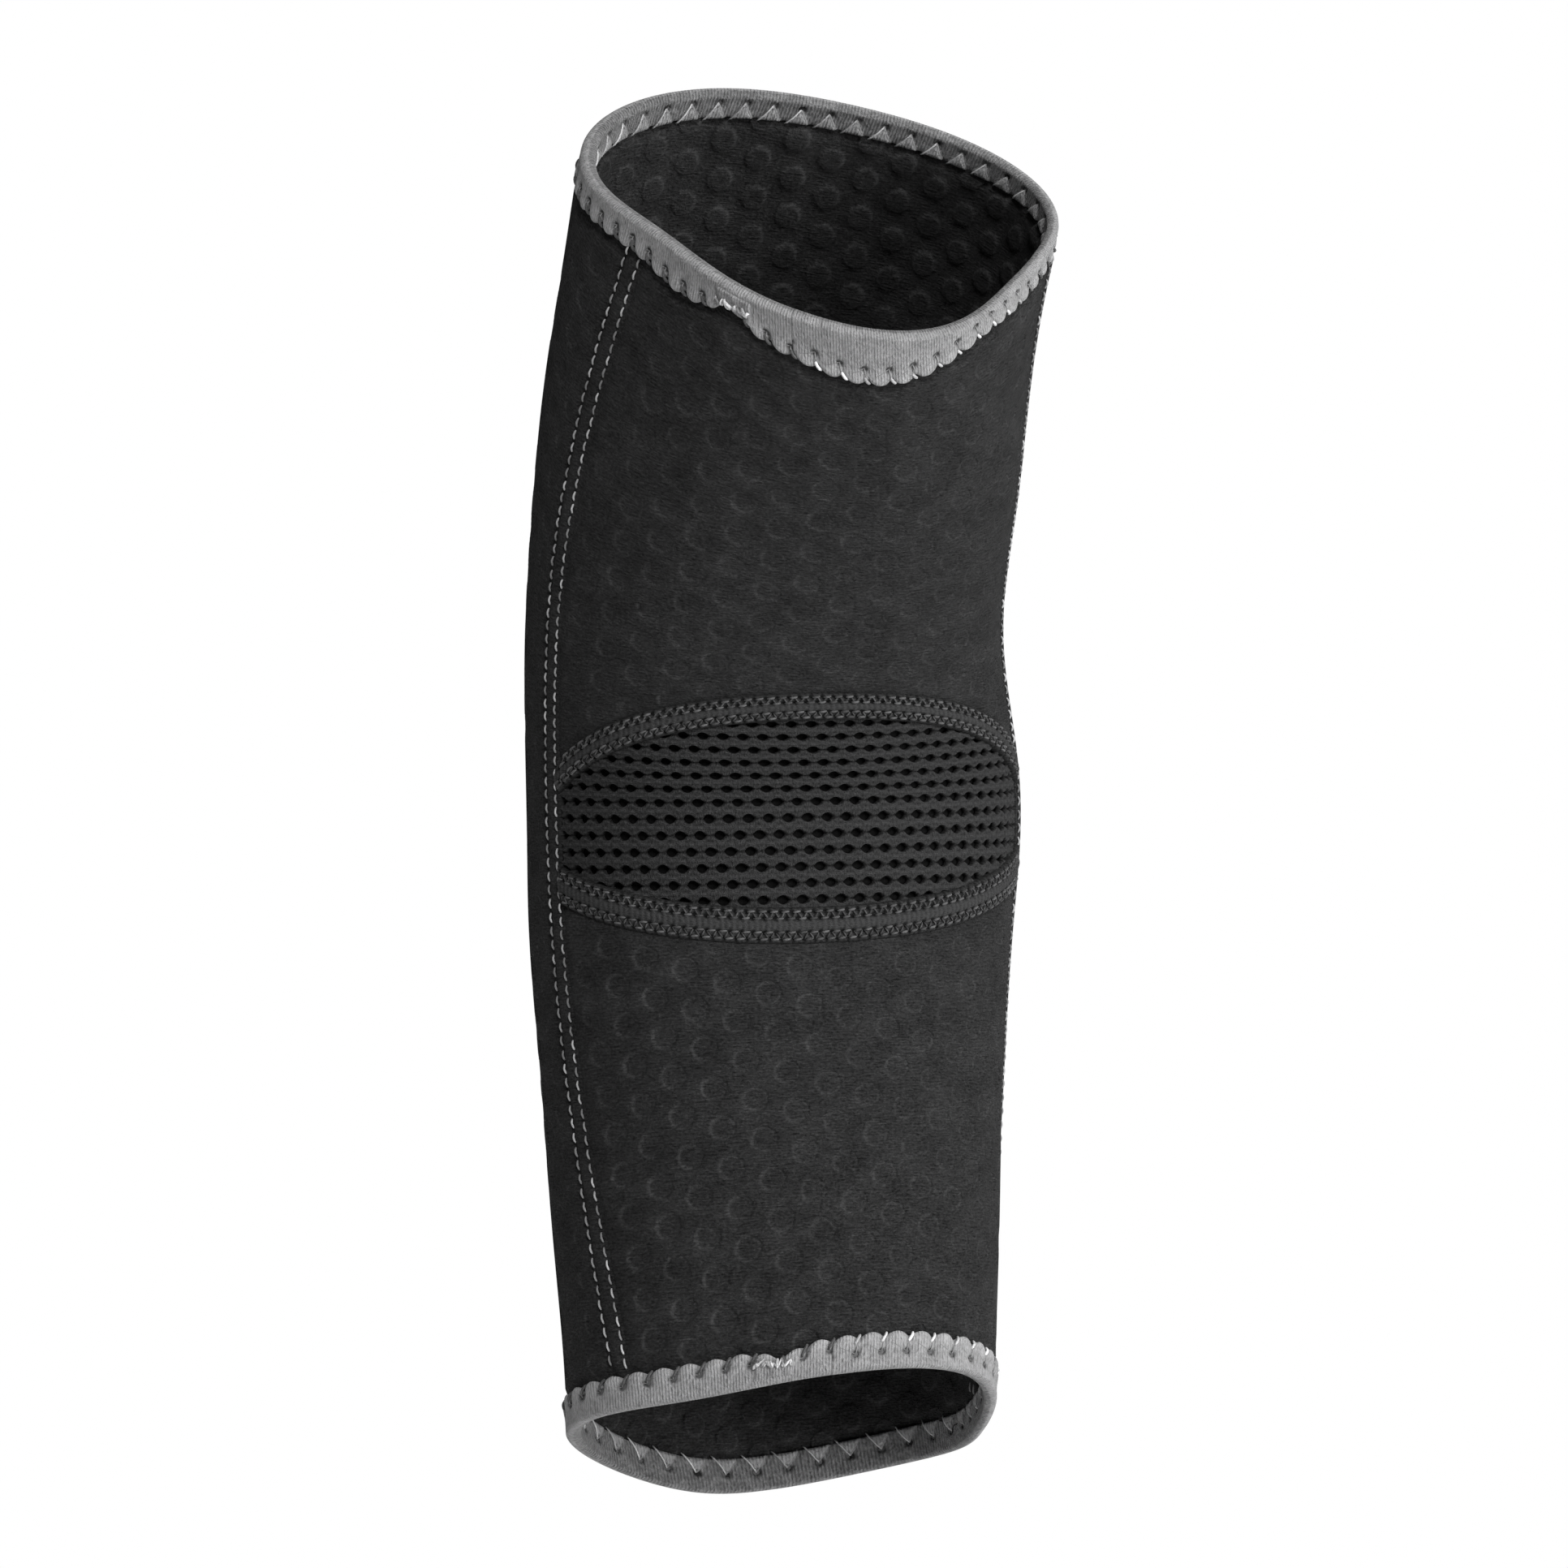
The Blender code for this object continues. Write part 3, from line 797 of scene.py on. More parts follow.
def build_mesh_insert():
    outline = mesh_cell()
    count = len(outline)
    angles = np.arctan2(outline[:, 1] * MESH_ROW, outline[:, 0] * MESH_PITCH)
    half = 13
    points, quads, painted_ridge_shading = [], [], []
    base = 0
    rings = 9
    for row in range(-half, half + 1):
        for column in range(-16, 17):
            centre_u = (column + 0.5 * (row % 2)) * MESH_PITCH
            centre_v = row * MESH_ROW
            theta = angle_at(centre_v, centre_u)
            left, right = front_angle(-1.0, centre_v), front_angle(1.0, centre_v)
            place = 2 * (theta - left) / (right - left) - 1
            if abs(place) > 1.03:
                continue
            if not (lower_tape_top(place) - 2 * MM < centre_v < upper_tape_bottom(place) + 2 * MM):
                continue
            skew = 0.12 * np.sin(column * 1.9 + row * 2.3)
            size = 1 + 0.5 * skew
            hole = np.stack([MESH_HOLE[0] * size * np.cos(angles),
                             MESH_HOLE[1] * np.sin(angles) * np.abs(np.sin(angles)) ** 0.5],
                            axis=1)
            edge = outline * np.array([MESH_PITCH, MESH_ROW])
            for ring in range(rings):
                share = (ring / (rings - 1)) ** 0.85
                local = hole * (1 - share) + edge * share
                ridge, plait, groove = mesh_height(centre_u + local[:, 0], local[:, 1], row)
                lip = np.exp(-ring / 1.1)
                height = MM * (0.26 * ridge + 0.24 * plait - 0.30 * lip - 0.40 * groove)
                points.append(np.stack([centre_u + local[:, 0], centre_v + local[:, 1],
                                        height], axis=1))
                # Painted light and shade: the mesh's colour is lighter on the yarn ridges and
                # plaits, and darker in the row grooves and at the lips of the holes.
                painted_ridge_shading.append(np.clip(0.25 + 0.75 * ridge + 0.45 * plait - 0.6 * groove, 0, 1)
                              * (1 - 0.8 * lip))
            for ring in range(rings - 1):
                j = np.arange(count)
                k = (j + 1) % count
                a = base + ring * count
                b = a + count
                quads.append(np.stack([a + j, b + j, b + k, a + k], axis=1))
            base += rings * count
    flat = np.concatenate(points)
    quads = np.concatenate(quads)
    painted_ridge_shading = np.concatenate(painted_ridge_shading)
    keys = np.round(flat[:, :2] / (0.02 * MM)).astype(np.int64)
    _, first, same = np.unique(keys, axis=0, return_index=True, return_inverse=True)
    same = same.ravel()
    flat, painted_ridge_shading = flat[first], painted_ridge_shading[first]
    quads = same[quads]
    u, v = flat[:, 0], flat[:, 1]
    theta = angle_at(v, u)
    outer = shell(v, theta, -0.75 * MM + flat[:, 2] + ripples(u, v))
    inner = shell(v, theta, -0.75 * MM - MESH_THICKNESS + 0.3 * flat[:, 2])
    total = len(outer)
    edges = np.concatenate([quads[:, [0, 1]], quads[:, [1, 2]], quads[:, [2, 3]],
                            quads[:, [3, 0]]])
    code = edges[:, 0] * total + edges[:, 1]
    back = edges[:, 1] * total + edges[:, 0]
    rim = edges[~np.isin(code, back)]
    walls = np.stack([rim[:, 1], rim[:, 0], rim[:, 0] + total, rim[:, 1] + total], axis=1)
    cloth = np.stack([u, v], axis=1)
    piece = add_mesh("mesh_net", np.concatenate([outer, inner]),
                     [quads, quads[:, ::-1] + total, walls], LOOKS["mesh"],
                     np.concatenate([cloth, cloth]),
                     {"ridge": np.concatenate([painted_ridge_shading, painted_ridge_shading])})
    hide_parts("mesh_insert")
    # Behind the mesh, a near-black sheet: painted shade seen through its holes.
    t, p = unit_grid(40, 90)
    s = lower_tape_top(p) - 1 * MM + (upper_tape_bottom(p) - lower_tape_top(p) + 2 * MM) * t
    theta = front_angle(p, s)
    shade_backing = slab("mesh_shade_backing", s, theta, -1.9 * MM + 0 * s, -WALL + 0 * s, LOOKS["shade_backing"])
    return [piece, shade_backing]


def tape_band(name, node, tape, width):
    """A raised band with two sewn channels, each with two staggered rows of needle pits."""
    t, p = unit_grid(40, 560)
    s, theta = band_surface(tape, p, width * t)
    u = length_at(s, theta)
    from_edge = np.minimum(t, 1 - t) * width
    outer = 0.75 * MM * smooth(from_edge / (0.55 * MM)) - 0.45 * MM
    outer = outer + 0.16 * MM * hump((t - 0.5) * width, 0.8 * MM) + ripples(u, s)
    pits = 0 * t
    for rank, row in enumerate(TWIN_ROWS):
        phase = wrapped_phase(u / TAPE_STITCH + 0.5 * rank)
        pits = pits + np.exp(-((from_edge - row) / (0.42 * MM)) ** 2 - (phase / 0.22) ** 2)
    channel = hump(from_edge - sum(TWIN_ROWS) / 2, 0.95 * MM)
    plait = 0.5 + 0.5 * np.cos(TURN * u / (0.5 * TAPE_STITCH) + 5 * np.abs(t - 0.5))
    outer = outer - 0.45 * MM * pits - 0.12 * MM * channel + 0.10 * MM * plait * (1 - channel)
    # Painted shade and light: the band's tone is darker at its edges, in the needle pits and along
    # the channels, and lighter on the plait.
    ridge = smooth(from_edge / (0.6 * MM)) * (0.55 + 0.45 * plait) - 1.2 * pits
    ridge = np.clip(ridge - 0.25 * channel, 0, 1)
    piece = slab(name, s, theta, outer, -WALL + 0 * s, LOOKS["tape"], {"ridge": (ridge, ridge)})
    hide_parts(node)
    return piece


def band_surface(tape, p, distance):
    s = tape_line(tape, p) + distance
    return s, front_angle(p, s, BAND_INSET)


def tape_stitches(name, nodes, tape, width, seed):
    """Small cover stitches that bridge the pits of each channel, and loops between the rows."""
    random = np.random.default_rng(seed)
    threads = Threads()
    grid = np.linspace(-0.995, 0.995, 800)
    steps = np.linspace(-1, 1, 5)
    middle_rows = sum(TWIN_ROWS) / 2
    for near_edge in (0, 1):
        for rank, row in enumerate((TWIN_ROWS[0], middle_rows, TWIN_ROWS[1])):
            distance = width - row if near_edge else row
            s, theta = band_surface(tape, grid, distance)
            lengths = length_at(s, theta)
            offset = (0.5, 0.25, 0.0)[rank]
            first = math.ceil(lengths[0] / TAPE_STITCH)
            last = math.floor(lengths[-1] / TAPE_STITCH)
            for index in np.arange(first, last, 0.5 if rank == 1 else 1.0):
                at = (index + offset) * TAPE_STITCH
                half = (0.30 if rank == 1 else 0.62) * MM
                p = np.interp(at + steps * half, lengths, grid)
                lean = (0.55 if rank == 1 else 0.10) * MM * steps * (-1) ** int(2 * index)
                s, theta = band_surface(tape, p, distance + lean)
                lift = 0.22 * MM * (1 - steps ** 2) + 0.10 * MM
                threads.add(shell(s, theta, lift), (0.12 if rank == 1 else 0.20) * MM, 6,
                            (0.1 if rank == 1 else 0.25) + 0.55 * random.random())
    piece = threads.build(name, LOOKS["cover_thread"])
    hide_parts(*nodes)
    return piece


# ---------------------------------------------------------------- side seams

def seam_band(side, label):
    t, q = unit_grid(900, 23)
    s = 0 * t
    for _ in range(4):
        theta = beside_seam(side, s, q * SEAM_WIDTH / 2)
        s = bottom_rim(theta) + (top_rim(theta) - bottom_rim(theta)) * t
    if side < 0:
        s, theta, q = s[:, ::-1], theta[:, ::-1], q[:, ::-1]
    across = q * SEAM_WIDTH / 2
    middle = 0.28 * MM * hump(across, 1.0 * MM)
    column = hump(np.abs(across) - SEAM_COLUMN, 0.42 * MM)
    phase = TURN * s / SEAM_STITCH
    knot = 0.5 + 0.5 * np.cos(phase)
    outer = middle - 0.32 * MM * column * (0.55 + 0.45 * knot)
    outer = outer + edge_dip((SEAM_WIDTH / 2 - np.abs(across)), 0.42 * MM, 0.5 * MM)
    outer = outer - pinch(s, theta)
    piece = slab(label + "_seam_band", s, theta, outer,
                 -WALL - 0.1 * MM + pinch(s, theta, inside=True),
                 LOOKS["knit"])
    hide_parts(label + "_seam_upper", label + "_seam_elbow", label + "_seam_lower")
    return piece


def seam_stitches(side, label, seed):
    random = np.random.default_rng(seed)
    threads = Threads()
    low, high = -0.118, 0.108
    count = int((high - low) / SEAM_STITCH)
    for column in (-1, 1):
        for index in range(count):
            middle = low + (index + 0.5 + 0.15 * column) * SEAM_STITCH
            steps = np.linspace(-1, 1, 9)
            s = middle + steps * 0.86 * MM + 0.05 * MM * random.standard_normal()
            wobble = 0.07 * MM * random.standard_normal() + 0.06 * MM * steps
            theta = beside_seam(side, s, column * SEAM_COLUMN + wobble)
            if middle < bottom_rim(theta[4]) + bottom_reach(theta[4]) + 0.4 * MM:
                continue
            if middle > top_rim(theta[4]) - top_reach(theta[4]) - 0.4 * MM:
                continue
            lift = 0.26 * MM * (1 - np.abs(steps) ** 3) - 0.16 * MM
            waist = 0.04 * MM * np.cos(steps * 5)
            path = shell(s, theta, lift + waist)
            threads.add(path, 0.18 * MM, 8, 0.15 + 0.55 * random.random())
            inner = shell(s, theta, -WALL - 0.12 * MM - lift * 0.6)
            threads.add(inner, 0.2 * MM, 6, 0.2 + 0.3 * random.random())
    return threads.build(label + "_seam_thread", LOOKS["seam_thread"])


# ---------------------------------------------------------------- bindings

def fold_half(theta):
    """Half the thickness of the folded binding, thinner where it is pulled tight."""
    return BINDING_HALF - 0.35 * MM * hill(theta, 100, 45)


def rim_runs(rim, up):
    """Angles around a rim, and the lengths of the short runs between them."""
    theta = np.linspace(0, TURN, 1441)
    line = shell(rim(theta) - up * 3 * MM, theta, 0)
    return theta, np.linalg.norm(np.diff(line, axis=0), axis=1)


def stitch_places(rim, up, front_pitch, back_pitch):
    """Angles around the rim against evenly stitched length, and its stitches' number and
    spacing. The stitches are longer at the back than at the front."""
    theta, runs = rim_runs(rim, up)
    pitch = front_pitch + (back_pitch - front_pitch) * (0.5 - 0.5 * np.cos(theta[1:]))
    reach = np.concatenate([[0], np.cumsum(runs * BINDING_STITCH / pitch)])
    count = int(round(reach[-1] / BINDING_STITCH))
    return theta, reach, count, reach[-1] / count


def fold(walked, outer_leg, half):
    """Offset from the wall's middle and height beyond the rim, WALKED along the fold."""
    arc = math.pi * half
    turn = np.clip((walked - outer_leg) / half, 0, math.pi)
    beyond = BINDING_CREST * np.sin(turn)
    beyond = np.where(walked < outer_leg, walked - outer_leg, beyond)
    beyond = np.where(walked > outer_leg + arc, outer_leg + arc - walked, beyond)
    return half * np.cos(turn), beyond


def front_share(theta):
    """1 on the front and right of a rim, where its stitches are given a painted highlight, 0
    elsewhere.
    """
    return smooth((theta + math.radians(20)) / 0.2) * smooth((1.5 - theta) / 0.3)


def needle_depth(theta):
    """From the lobes' outer line to the needle holes: shallower on the rim's left."""
    return NEEDLE_DEPTH * (0.62 + 0.38 * front_share(theta))


def outer_relief(phase, depth, theta):
    """Lobes between the cusps of the outer edge, pulled in along the threads and the holes; also a
    mask of the holes for their painted shade.
    """
    cusp = np.minimum(phase, 1 - phase)
    front = front_share(theta)
    lobes = 0.46 * np.sin(math.pi * phase) ** 0.7 * hump(depth, 2.3 * MM)
    valley_end = (1.9 - 0.9 * front) * MM
    valley = -0.50 * hump(cusp, 0.11) * np.exp(-(depth / valley_end) ** 4)
    from_hole = np.hypot((wrapped_phase(phase + NEEDLE_LEAD)) * BINDING_STITCH,
                         depth - needle_depth(theta))
    hole = -0.85 * hump(from_hole, 0.42 * MM)
    pull = -0.14 * hump(from_hole, 1.0 * MM)
    return (lobes + valley + hole + pull) * MM, hump(from_hole, 0.46 * MM)


def wrapped_phase(phase):
    return phase - np.round(phase)


def inner_relief(phase, depth):
    """Tents between each needle hole and the inner edge, as on the back of a zigzag; also masks of
    the holes, for their painted shade, and of the tents.
    """
    aside = np.abs(wrapped_phase(phase - 0.5))
    tent_half = 0.40 * np.clip(1 - depth / INNER_NEEDLE, 0, 1)
    tent = smooth((tent_half - aside) / 0.10 + 0.3)
    from_hole = np.hypot(aside * BINDING_STITCH, depth - INNER_NEEDLE)
    hole = hump(from_hole, 0.48 * MM)
    near = np.exp(-(depth / (3.4 * MM)) ** 4)
    return (0.50 * tent * near - 0.14 * near - 0.8 * hole) * MM, hole, tent


def binding(label, rim, reach_of, inner_reach, up, places):
    theta_fine, walked_fine, count, _ = places
    per_stitch = 20
    columns = count * per_stitch
    length = walked_fine[-1]
    theta = np.interp(np.arange(columns) * length / columns, walked_fine, theta_fine)
    rows = 78
    share, theta = np.meshgrid(np.linspace(0, 1, rows), theta, indexing="ij")
    phase = np.broadcast_to((np.arange(columns) / per_stitch) % 1.0, share.shape)
    half = fold_half(theta)
    dent = SCALLOP * (1 - np.sqrt(np.sin(math.pi * phase) ** 2 + 0.02))
    outer_leg = reach_of(theta) - dent
    total = outer_leg + math.pi * half + inner_reach
    walked = share * total
    aside, beyond = fold(walked, outer_leg, half)
    bulge, outer_hole_shade = outer_relief(phase, walked + dent, theta)
    tents, inner_hole_shade, tent = inner_relief(phase, total - walked)
    lips = -0.35 * MM * np.exp(-walked / (0.3 * MM))
    lips = lips - 0.30 * MM * np.exp(-(total - walked) / (0.3 * MM))
    swell = bulge + tents + lips
    outside = shell(rim(theta) + up * beyond, theta, BINDING_MIDDLE + aside
                    + swell * np.clip(aside / half, -1, 1))
    # Painted light and shade in the tape's tone: darker in the needle holes, lighter on the lobes
    # and darker in the valleys between them, and darker over the whole inner leg inside the tube.
    # The tents of the inner leg are made lighter too.
    inside_leg = smooth((total - walked) / (0.6 * MM)) * (aside < 0)
    tone = 0.58 - 1.1 * outer_hole_shade - 1.2 * inner_hole_shade + 0.26 * tent * inside_leg
    tone = tone + 0.30 * np.clip(bulge / MM, -0.6, 0.4) - 0.22 * (aside < 0)
    u = np.broadcast_to(np.arange(columns) * length / columns, share.shape)
    under_rows = np.linspace(0, 1, 9)[:, None]
    theta_under, dent_under = theta[:1], dent[:1]
    leg_under = reach_of(theta_under) - dent_under
    half_under = fold_half(theta_under)
    total_under = leg_under + math.pi * half_under + inner_reach
    aside_under, beyond_under = fold(under_rows * total_under, leg_under, half_under)
    thin = 1 - TAPE_THICKNESS / half_under
    beyond_under = np.where(beyond_under > 0, beyond_under * 0.4, beyond_under)
    inside = shell(rim(theta_under) + up * beyond_under, theta_under + 0 * under_rows,
                   BINDING_MIDDLE + aside_under * thin)
    under_count = len(under_rows)
    first = rows * columns
    j = np.arange(columns)
    k = (j + 1) % columns
    last, under_last = (rows - 1) * columns, first + (under_count - 1) * columns
    edges = np.concatenate([np.stack([j + first, k + first, k, j], axis=-1),
                            np.stack([j + last, k + last, k + under_last, j + under_last],
                                     axis=-1)])
    faces = [grid_quads(rows, columns, 0, True, flip=up < 0),
             grid_quads(under_count, columns, first, True, flip=up > 0),
             edges[:, ::-1] if up < 0 else edges]
    cloth = np.concatenate([np.stack([u, walked], axis=-1).reshape(-1, 2),
                            np.zeros((under_count * columns, 2))])
    marks = {"tone": np.concatenate([np.clip(tone, 0, 1).ravel(),
                                     np.full(under_count * columns, 0.3)])}
    piece = add_mesh(label + "_binding_tape",
                     np.concatenate([outside.reshape(-1, 3), inside.reshape(-1, 3)]),
                     faces, LOOKS["binding"], cloth, marks)
    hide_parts(label + "_binding")
    return piece


def on_tape(places, rim, reach_of, inner_reach, up, around, depth, lift, inside):
    """Points on a binding: AROUND counts stitches, DEPTH is from the free edge's outer line."""
    theta_fine, walked_fine, count, spacing = places
    theta = np.interp((around % count) * spacing, walked_fine, theta_fine)
    reach = inner_reach if inside else reach_of(theta)
    aside = fold_half(theta) + lift
    return shell(rim(theta) - up * (reach - depth), theta,
                 BINDING_MIDDLE + (-aside if inside else aside))


def binding_stitches(label, rim, reach_of, inner_reach, up, places, seed):
    count = places[2]
    random = np.random.default_rng(seed)
    threads = Threads()
    steps = np.linspace(0, 1, 7)
    for index in range(count):
        jitter = 0.04 * random.standard_normal()
        theta = np.interp((index + 1) * places[3], places[1], places[0])
        # Painted highlight: the zigzag threads are made bright on the front and right of the rim,
        # where the light falls, and dull elsewhere.
        painted_highlight = 0.85 * front_share(theta) * random.random() ** 0.35
        needle_at = needle_depth(theta)
        around = index + 1.0 + jitter + 0.22 * (steps - 0.5)
        depth = 1.75 * MM - 1.55 * MM * steps
        lift = 0.10 * MM + 0.25 * MM * np.sin(math.pi * steps) - 0.35 * MM * steps ** 3
        threads.add(on_tape(places, rim, reach_of, inner_reach, up, around, depth, lift, False),
                    0.25 * MM, 8, painted_highlight, 0.75)
        needle = index + 1.0 - NEEDLE_LEAD
        for cusp, tone in ((index + 0.05, 0.22), (index + 0.95, 0.30)):
            around = needle + (cusp - needle) * steps
            depth = needle_at + (1.4 * MM - needle_at) * steps
            lift = 0.12 * MM * np.sin(math.pi * steps) - 0.35 * MM * (1 - steps) ** 3
            path = on_tape(places, rim, reach_of, inner_reach, up, around, depth, lift, False)
            threads.add(path, 0.11 * MM, 6, tone, 0.6)
        needle = index + 0.5
        for cusp, radius, tone, past in (
                (index + 0.12, 0.11 * MM, 0.30, 0.1 * MM), (index + 0.38, 0.09 * MM, 0.40, 0),
                (index + 0.66, 0.09 * MM, 0.40, 0),
                (index + 0.92, 0.15 * MM, 0.42 + 0.25 * random.random(), 0.6 * MM)):
            around = needle + (cusp - needle) * steps
            depth = INNER_NEEDLE - (INNER_NEEDLE + past) * steps
            lift = 0.20 * MM * np.sin(math.pi * steps) - 0.5 * MM * (1 - steps) ** 4
            lift = lift - 0.45 * MM * steps ** 5
            path = on_tape(places, rim, reach_of, inner_reach, up, around, depth, lift, True)
            threads.add(path, radius, 6, tone, 0.6)
    piece = threads.build(label + "_binding_zigzag", LOOKS["binding_thread"])
    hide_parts(label + "_binding_thread")
    return piece


def binding_join(label, rim, reach_of, up, middle, seed):
    """The lap where the tape's ends meet, closed by a dense irregular zigzag."""
    half_width = 3.4 * MM
    t, q = unit_grid(24, 40)
    u_middle = length_at(rim(middle), middle)
    theta = np.full(t.shape, float(middle))
    for _ in range(3):
        s = rim(theta) - up * (0.2 * MM + (reach_of(theta) - 1.0 * MM) * t)
        theta = angle_at(s, u_middle + half_width * q + 0.5 * MM * (t - 0.5))
    edge = np.minimum(t * 4 * MM, np.minimum(1 - t, 0.5) * reach_of(theta))
    edge = np.minimum(edge, (1 - np.abs(q)) * half_width)
    outer = BINDING_MIDDLE + fold_half(theta) + 0.38 * MM * smooth(edge / (0.45 * MM)) - 0.05 * MM
    outer = outer + 0.10 * MM * np.sin(9 * q + 4 * t) * np.sin(5 * t)
    if up > 0:
        s, theta, outer = s[::-1], theta[::-1], outer[::-1]
    tone = 0.55 + 0 * s
    piece = slab(label + "_join_flap", s, theta, outer,
                 BINDING_MIDDLE + fold_half(theta) - 0.3 * MM, LOOKS["binding"],
                 {"tone": (tone, tone)})
    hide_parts(label + "_binding_join")
    random = np.random.default_rng(seed)
    threads = Threads()
    steps = np.linspace(0, 1, 5)
    across, down = -3.2 * MM, 0.55
    for index in range(26):
        next_across = -3.2 * MM + 6.4 * MM * ((index + 1) / 26) + 0.5 * MM * random.standard_normal()
        next_down = (0.84 if index % 2 else 0.56) + 0.08 * random.standard_normal()
        path_down = down + (next_down - down) * steps
        path_across = across + (next_across - across) * steps
        s_line = rim(middle) - up * path_down * reach_of(middle)
        theta_line = angle_at(s_line, u_middle + path_across)
        lift = BINDING_MIDDLE + fold_half(middle) + 0.42 * MM + 0.22 * MM * np.sin(math.pi * steps)
        radius = (0.16 + 0.12 * random.random()) * MM
        threads.add(shell(s_line, theta_line, lift), radius, 6, 0.25 + 0.5 * random.random())
        across, down = next_across, next_down
    return [piece, threads.build(label + "_bar_tack", LOOKS["binding_thread"])]


# ---------------------------------------------------------------- assembly

def bends(piece):
    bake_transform(piece)
    return piece


def cut_area(piece):
    """A sewn panel's area before it was curved, from its flat map: half of its two faces."""
    layer = piece.data.uv_layers["cloth"]
    flat = np.empty(len(layer.data) * 2)
    layer.data.foreach_get("uv", flat)
    quads = flat.reshape(-1, 4, 2) * MM
    across = quads[:, 2] - quads[:, 0]
    along_quad = quads[:, 3] - quads[:, 1]
    twice = across[:, 0] * along_quad[:, 1] - across[:, 1] * along_quad[:, 0]
    return float(np.abs(twice).sum() / 4), np.ptp(flat.reshape(-1, 2), axis=0) * MM


def sewn_in(piece):
    """Reads a panel's cut area and flat size from its flat map; nothing is done with them."""
    area, (width, length) = cut_area(piece)


front_upper, front_lower = build_front_panels()
back = build_back_panel()
net, shade_backing = build_mesh_insert()
upper_line = (UPPER_TAPE[0] - UPPER_TAPE_WIDTH, UPPER_TAPE[1], UPPER_TAPE[2])
upper_band = tape_band("upper_mesh_band", "upper_seam_tape", upper_line, UPPER_TAPE_WIDTH)
lower_band = tape_band("lower_mesh_band", "lower_seam_tape", LOWER_TAPE, LOWER_TAPE_WIDTH)
upper_cover = tape_stitches("upper_cover_stitches",
                            ("upper_tape_thread_inner", "upper_tape_thread_outer"),
                            upper_line, UPPER_TAPE_WIDTH, 3)
lower_cover = tape_stitches("lower_cover_stitches",
                            ("lower_tape_thread_inner", "lower_tape_thread_outer"),
                            LOWER_TAPE, LOWER_TAPE_WIDTH, 4)

for piece, slot in ((front_upper, "neoprene"), (front_lower, "neoprene"), (back, "neoprene"),
                    (net, "mesh"), (shade_backing, "mesh"), (upper_band, "seam_tape"),
                    (lower_band, "seam_tape")):
    bends(piece)
for piece in (upper_cover, lower_cover):
    bends(piece)
side_seams = []
for side, label, seed in ((-1, "left", 11), (1, "right", 12)):
    for piece in (seam_band(side, label), seam_stitches(side, label, seed)):
        bends(piece)
        side_seams.append(piece)
for piece, with_pieces in ((front_upper, ()), (front_lower, ()), (back, side_seams),
                           (net, (upper_band, lower_band, upper_cover, lower_cover)),
                           (shade_backing, ())):
    sewn_in(piece)
for label, rim, reach_of, inner_reach, up, body, join, seed, pitches in (
        ("top", top_rim, top_reach, TOP_INNER_REACH, 1, "upper_sleeve", TOP_JOIN, 21,
         TOP_STITCHES),
        ("bottom", bottom_rim, bottom_reach, BOTTOM_INNER_REACH, -1, "lower_sleeve",
         BOTTOM_JOIN, 22, BOTTOM_STITCHES)):
    places = stitch_places(rim, up, *pitches)
    tape = binding(label, rim, reach_of, inner_reach, up, places)
    zigzag = binding_stitches(label, rim, reach_of, inner_reach, up, places, seed)
    flap, tack = binding_join(label, rim, reach_of, up, join, seed + 10)
    for piece, slot in ((tape, "binding"), (zigzag, "binding_thread"), (flap, "binding"),
                        (tack, "binding_thread")):
        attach(piece, body)
    around = places[0]
    strip = float(np.mean(reach_of(around) + math.pi * fold_half(around) + inner_reach))
    strip_length = float(rim_runs(rim, up)[1].sum())


# ---------------------------------------------------------------- studio

def build_floor():
    """A pale floor that the camera sees evenly lit, as on a light table."""
    material = bpy.data.materials.new("studio_floor")
    material.use_nodes = True
    nodes, links = material.node_tree.nodes, material.node_tree.links
    nodes["Principled BSDF"].inputs["Base Color"].default_value = (0.8, 0.8, 0.8, 1)
    glow = nodes.new("ShaderNodeEmission")
    seen = nodes.new("ShaderNodeLightPath")
    mix = nodes.new("ShaderNodeMixShader")
    links.new(seen.outputs["Is Camera Ray"], mix.inputs["Fac"])
    links.new(nodes["Principled BSDF"].outputs["BSDF"], mix.inputs[1])
    links.new(glow.outputs["Emission"], mix.inputs[2])
    links.new(mix.outputs["Shader"], nodes["Material Output"].inputs["Surface"])
    size, height = 4.0, -0.30
    corners = [(-size, -size, height), (size, -size, height), (size, size, height),
               (-size, size, height)]
    add_mesh("floor", corners, [np.array([[0, 1, 2, 3]])], material)


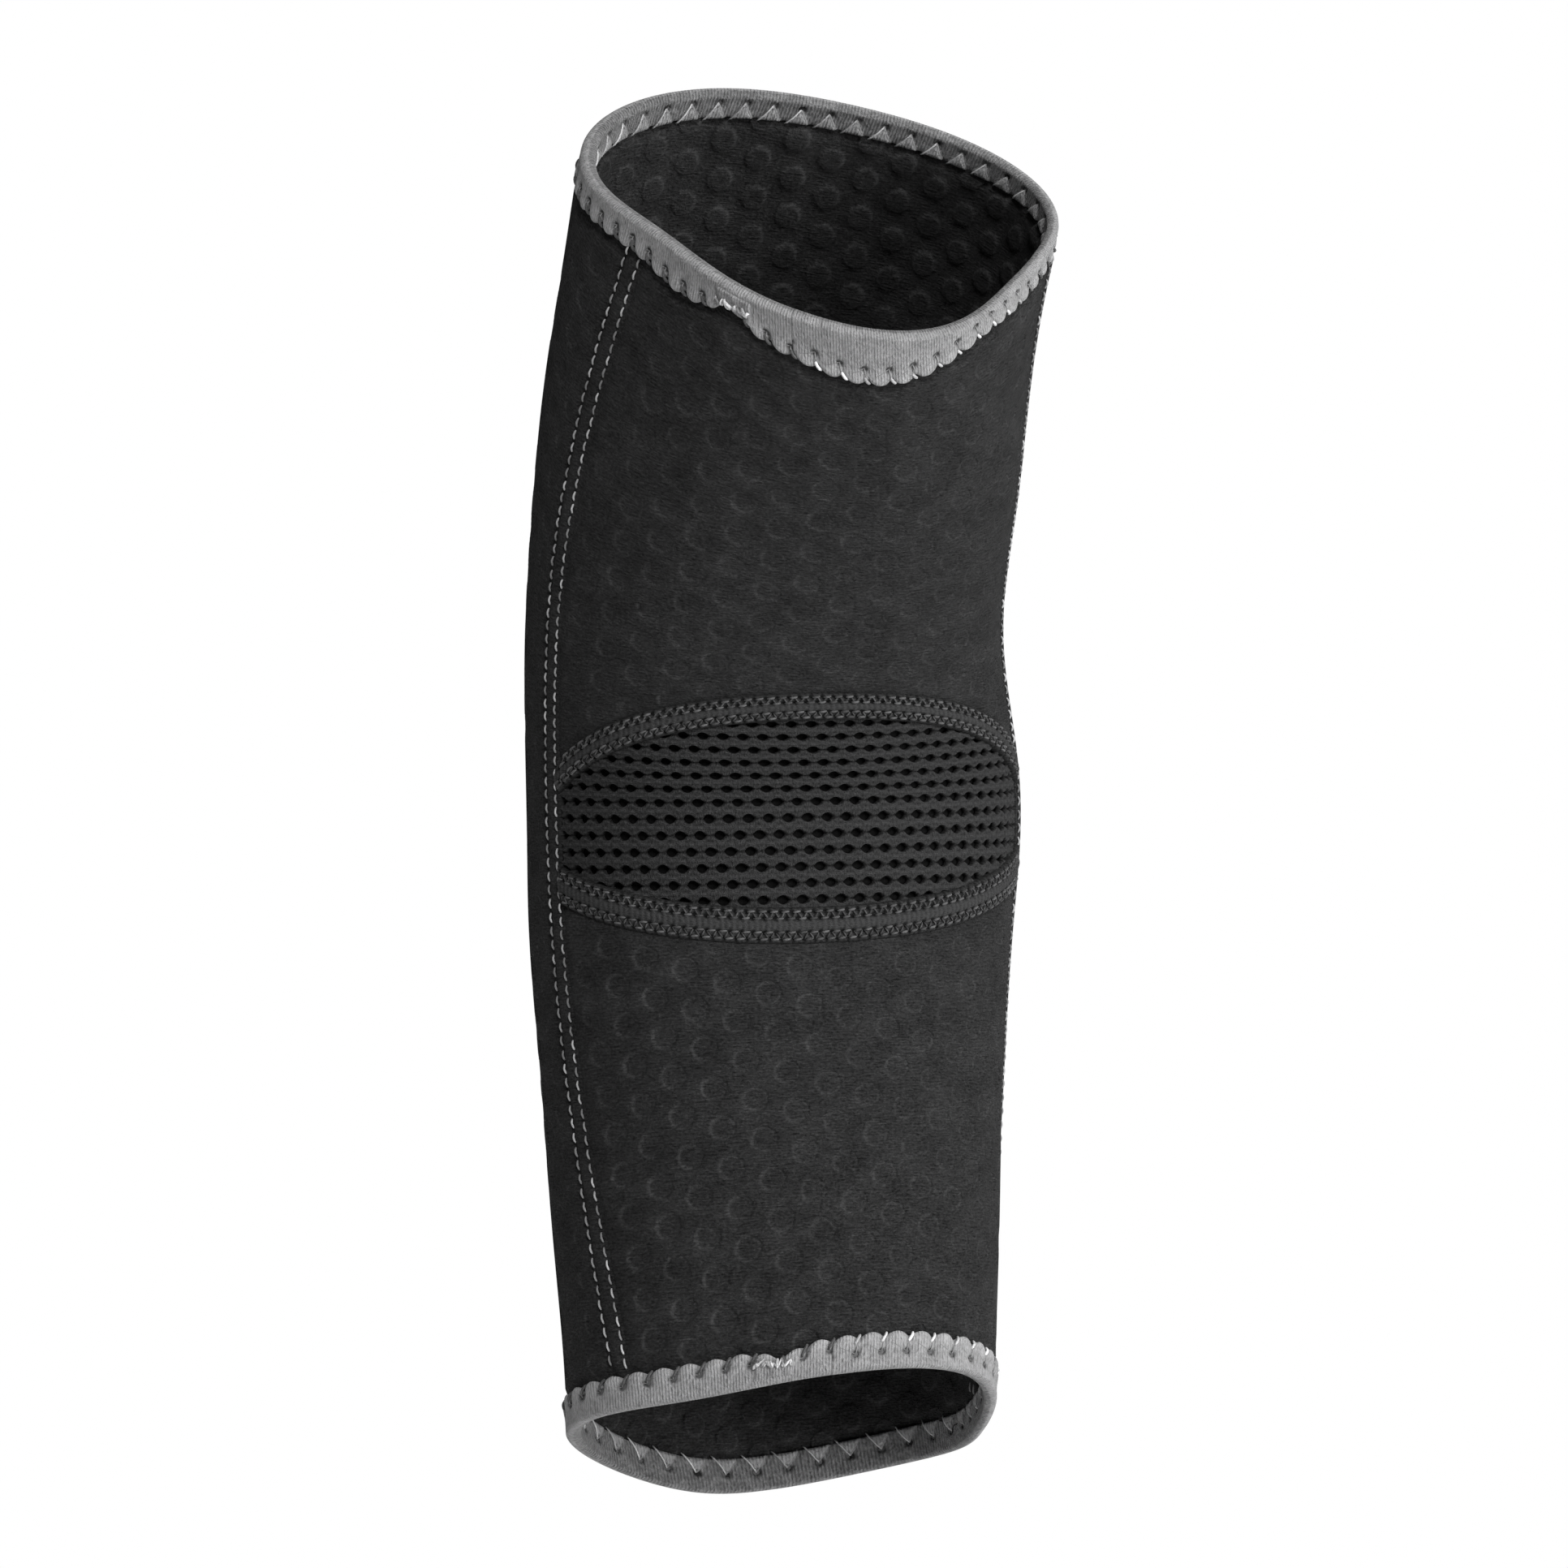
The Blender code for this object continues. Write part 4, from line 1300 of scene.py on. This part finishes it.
def add_light(name, place, size, power, target=(0, 0, 0)):
    light = bpy.data.lights.new(name, "AREA")
    light.shape = "RECTANGLE"
    light.size, light.size_y = size
    light.energy = power
    lamp = bpy.data.objects.new(name, light)
    bpy.context.scene.collection.objects.link(lamp)
    lamp.location = place
    aim = np.array(target) - np.array(place)
    yaw = math.atan2(aim[1], aim[0])
    pitch = math.atan2(aim[2], math.hypot(aim[0], aim[1]))
    lamp.rotation_euler = (math.pi / 2 + pitch, 0, yaw - math.pi / 2)


def build_camera():
    data = bpy.data.cameras.new("camera")
    data.sensor_width = 36
    data.lens = CAMERA_LENS
    data.shift_x, data.shift_y = CAMERA_SHIFT
    data.clip_start = 0.01
    camera = bpy.data.objects.new("camera", data)
    bpy.context.scene.collection.objects.link(camera)
    level = CAMERA_DISTANCE * math.cos(CAMERA_PITCH)
    camera.location = (-level * math.sin(CAMERA_YAW), -level * math.cos(CAMERA_YAW),
                       CAMERA_DISTANCE * math.sin(CAMERA_PITCH))
    facing = Euler((math.pi / 2 - CAMERA_PITCH, 0, -CAMERA_YAW)).to_matrix().to_4x4()
    facing = facing @ Matrix.Rotation(CAMERA_ROLL, 4, "Z")
    camera.rotation_euler = facing.to_euler()
    bpy.context.scene.camera = camera


def build_world():
    world = bpy.data.worlds.new("studio")
    bpy.context.scene.world = world
    world.use_nodes = True
    nodes, links = world.node_tree.nodes, world.node_tree.links
    nodes["Background"].inputs["Color"].default_value = (1, 1, 1, 1)
    seen = nodes.new("ShaderNodeLightPath")
    strength = nodes.new("ShaderNodeMapRange")
    strength.inputs["To Min"].default_value = AMBIENT
    strength.inputs["To Max"].default_value = 1.0
    links.new(seen.outputs["Is Camera Ray"], strength.inputs["Value"])
    links.new(strength.outputs["Result"], nodes["Background"].inputs["Strength"])


bpy.context.scene.view_settings.view_transform = "Standard"
build_floor()
build_world()
build_camera()
add_light("key", (0.75, -0.80, 0.20), (0.45, 0.9), 17)
add_light("behind", (0.35, 1.20, 0.40), (0.5, 0.6), 26)
add_light("front", (-0.05, -1.10, 0.68), (0.35, 0.30), 16, (0, 0, 0.06))
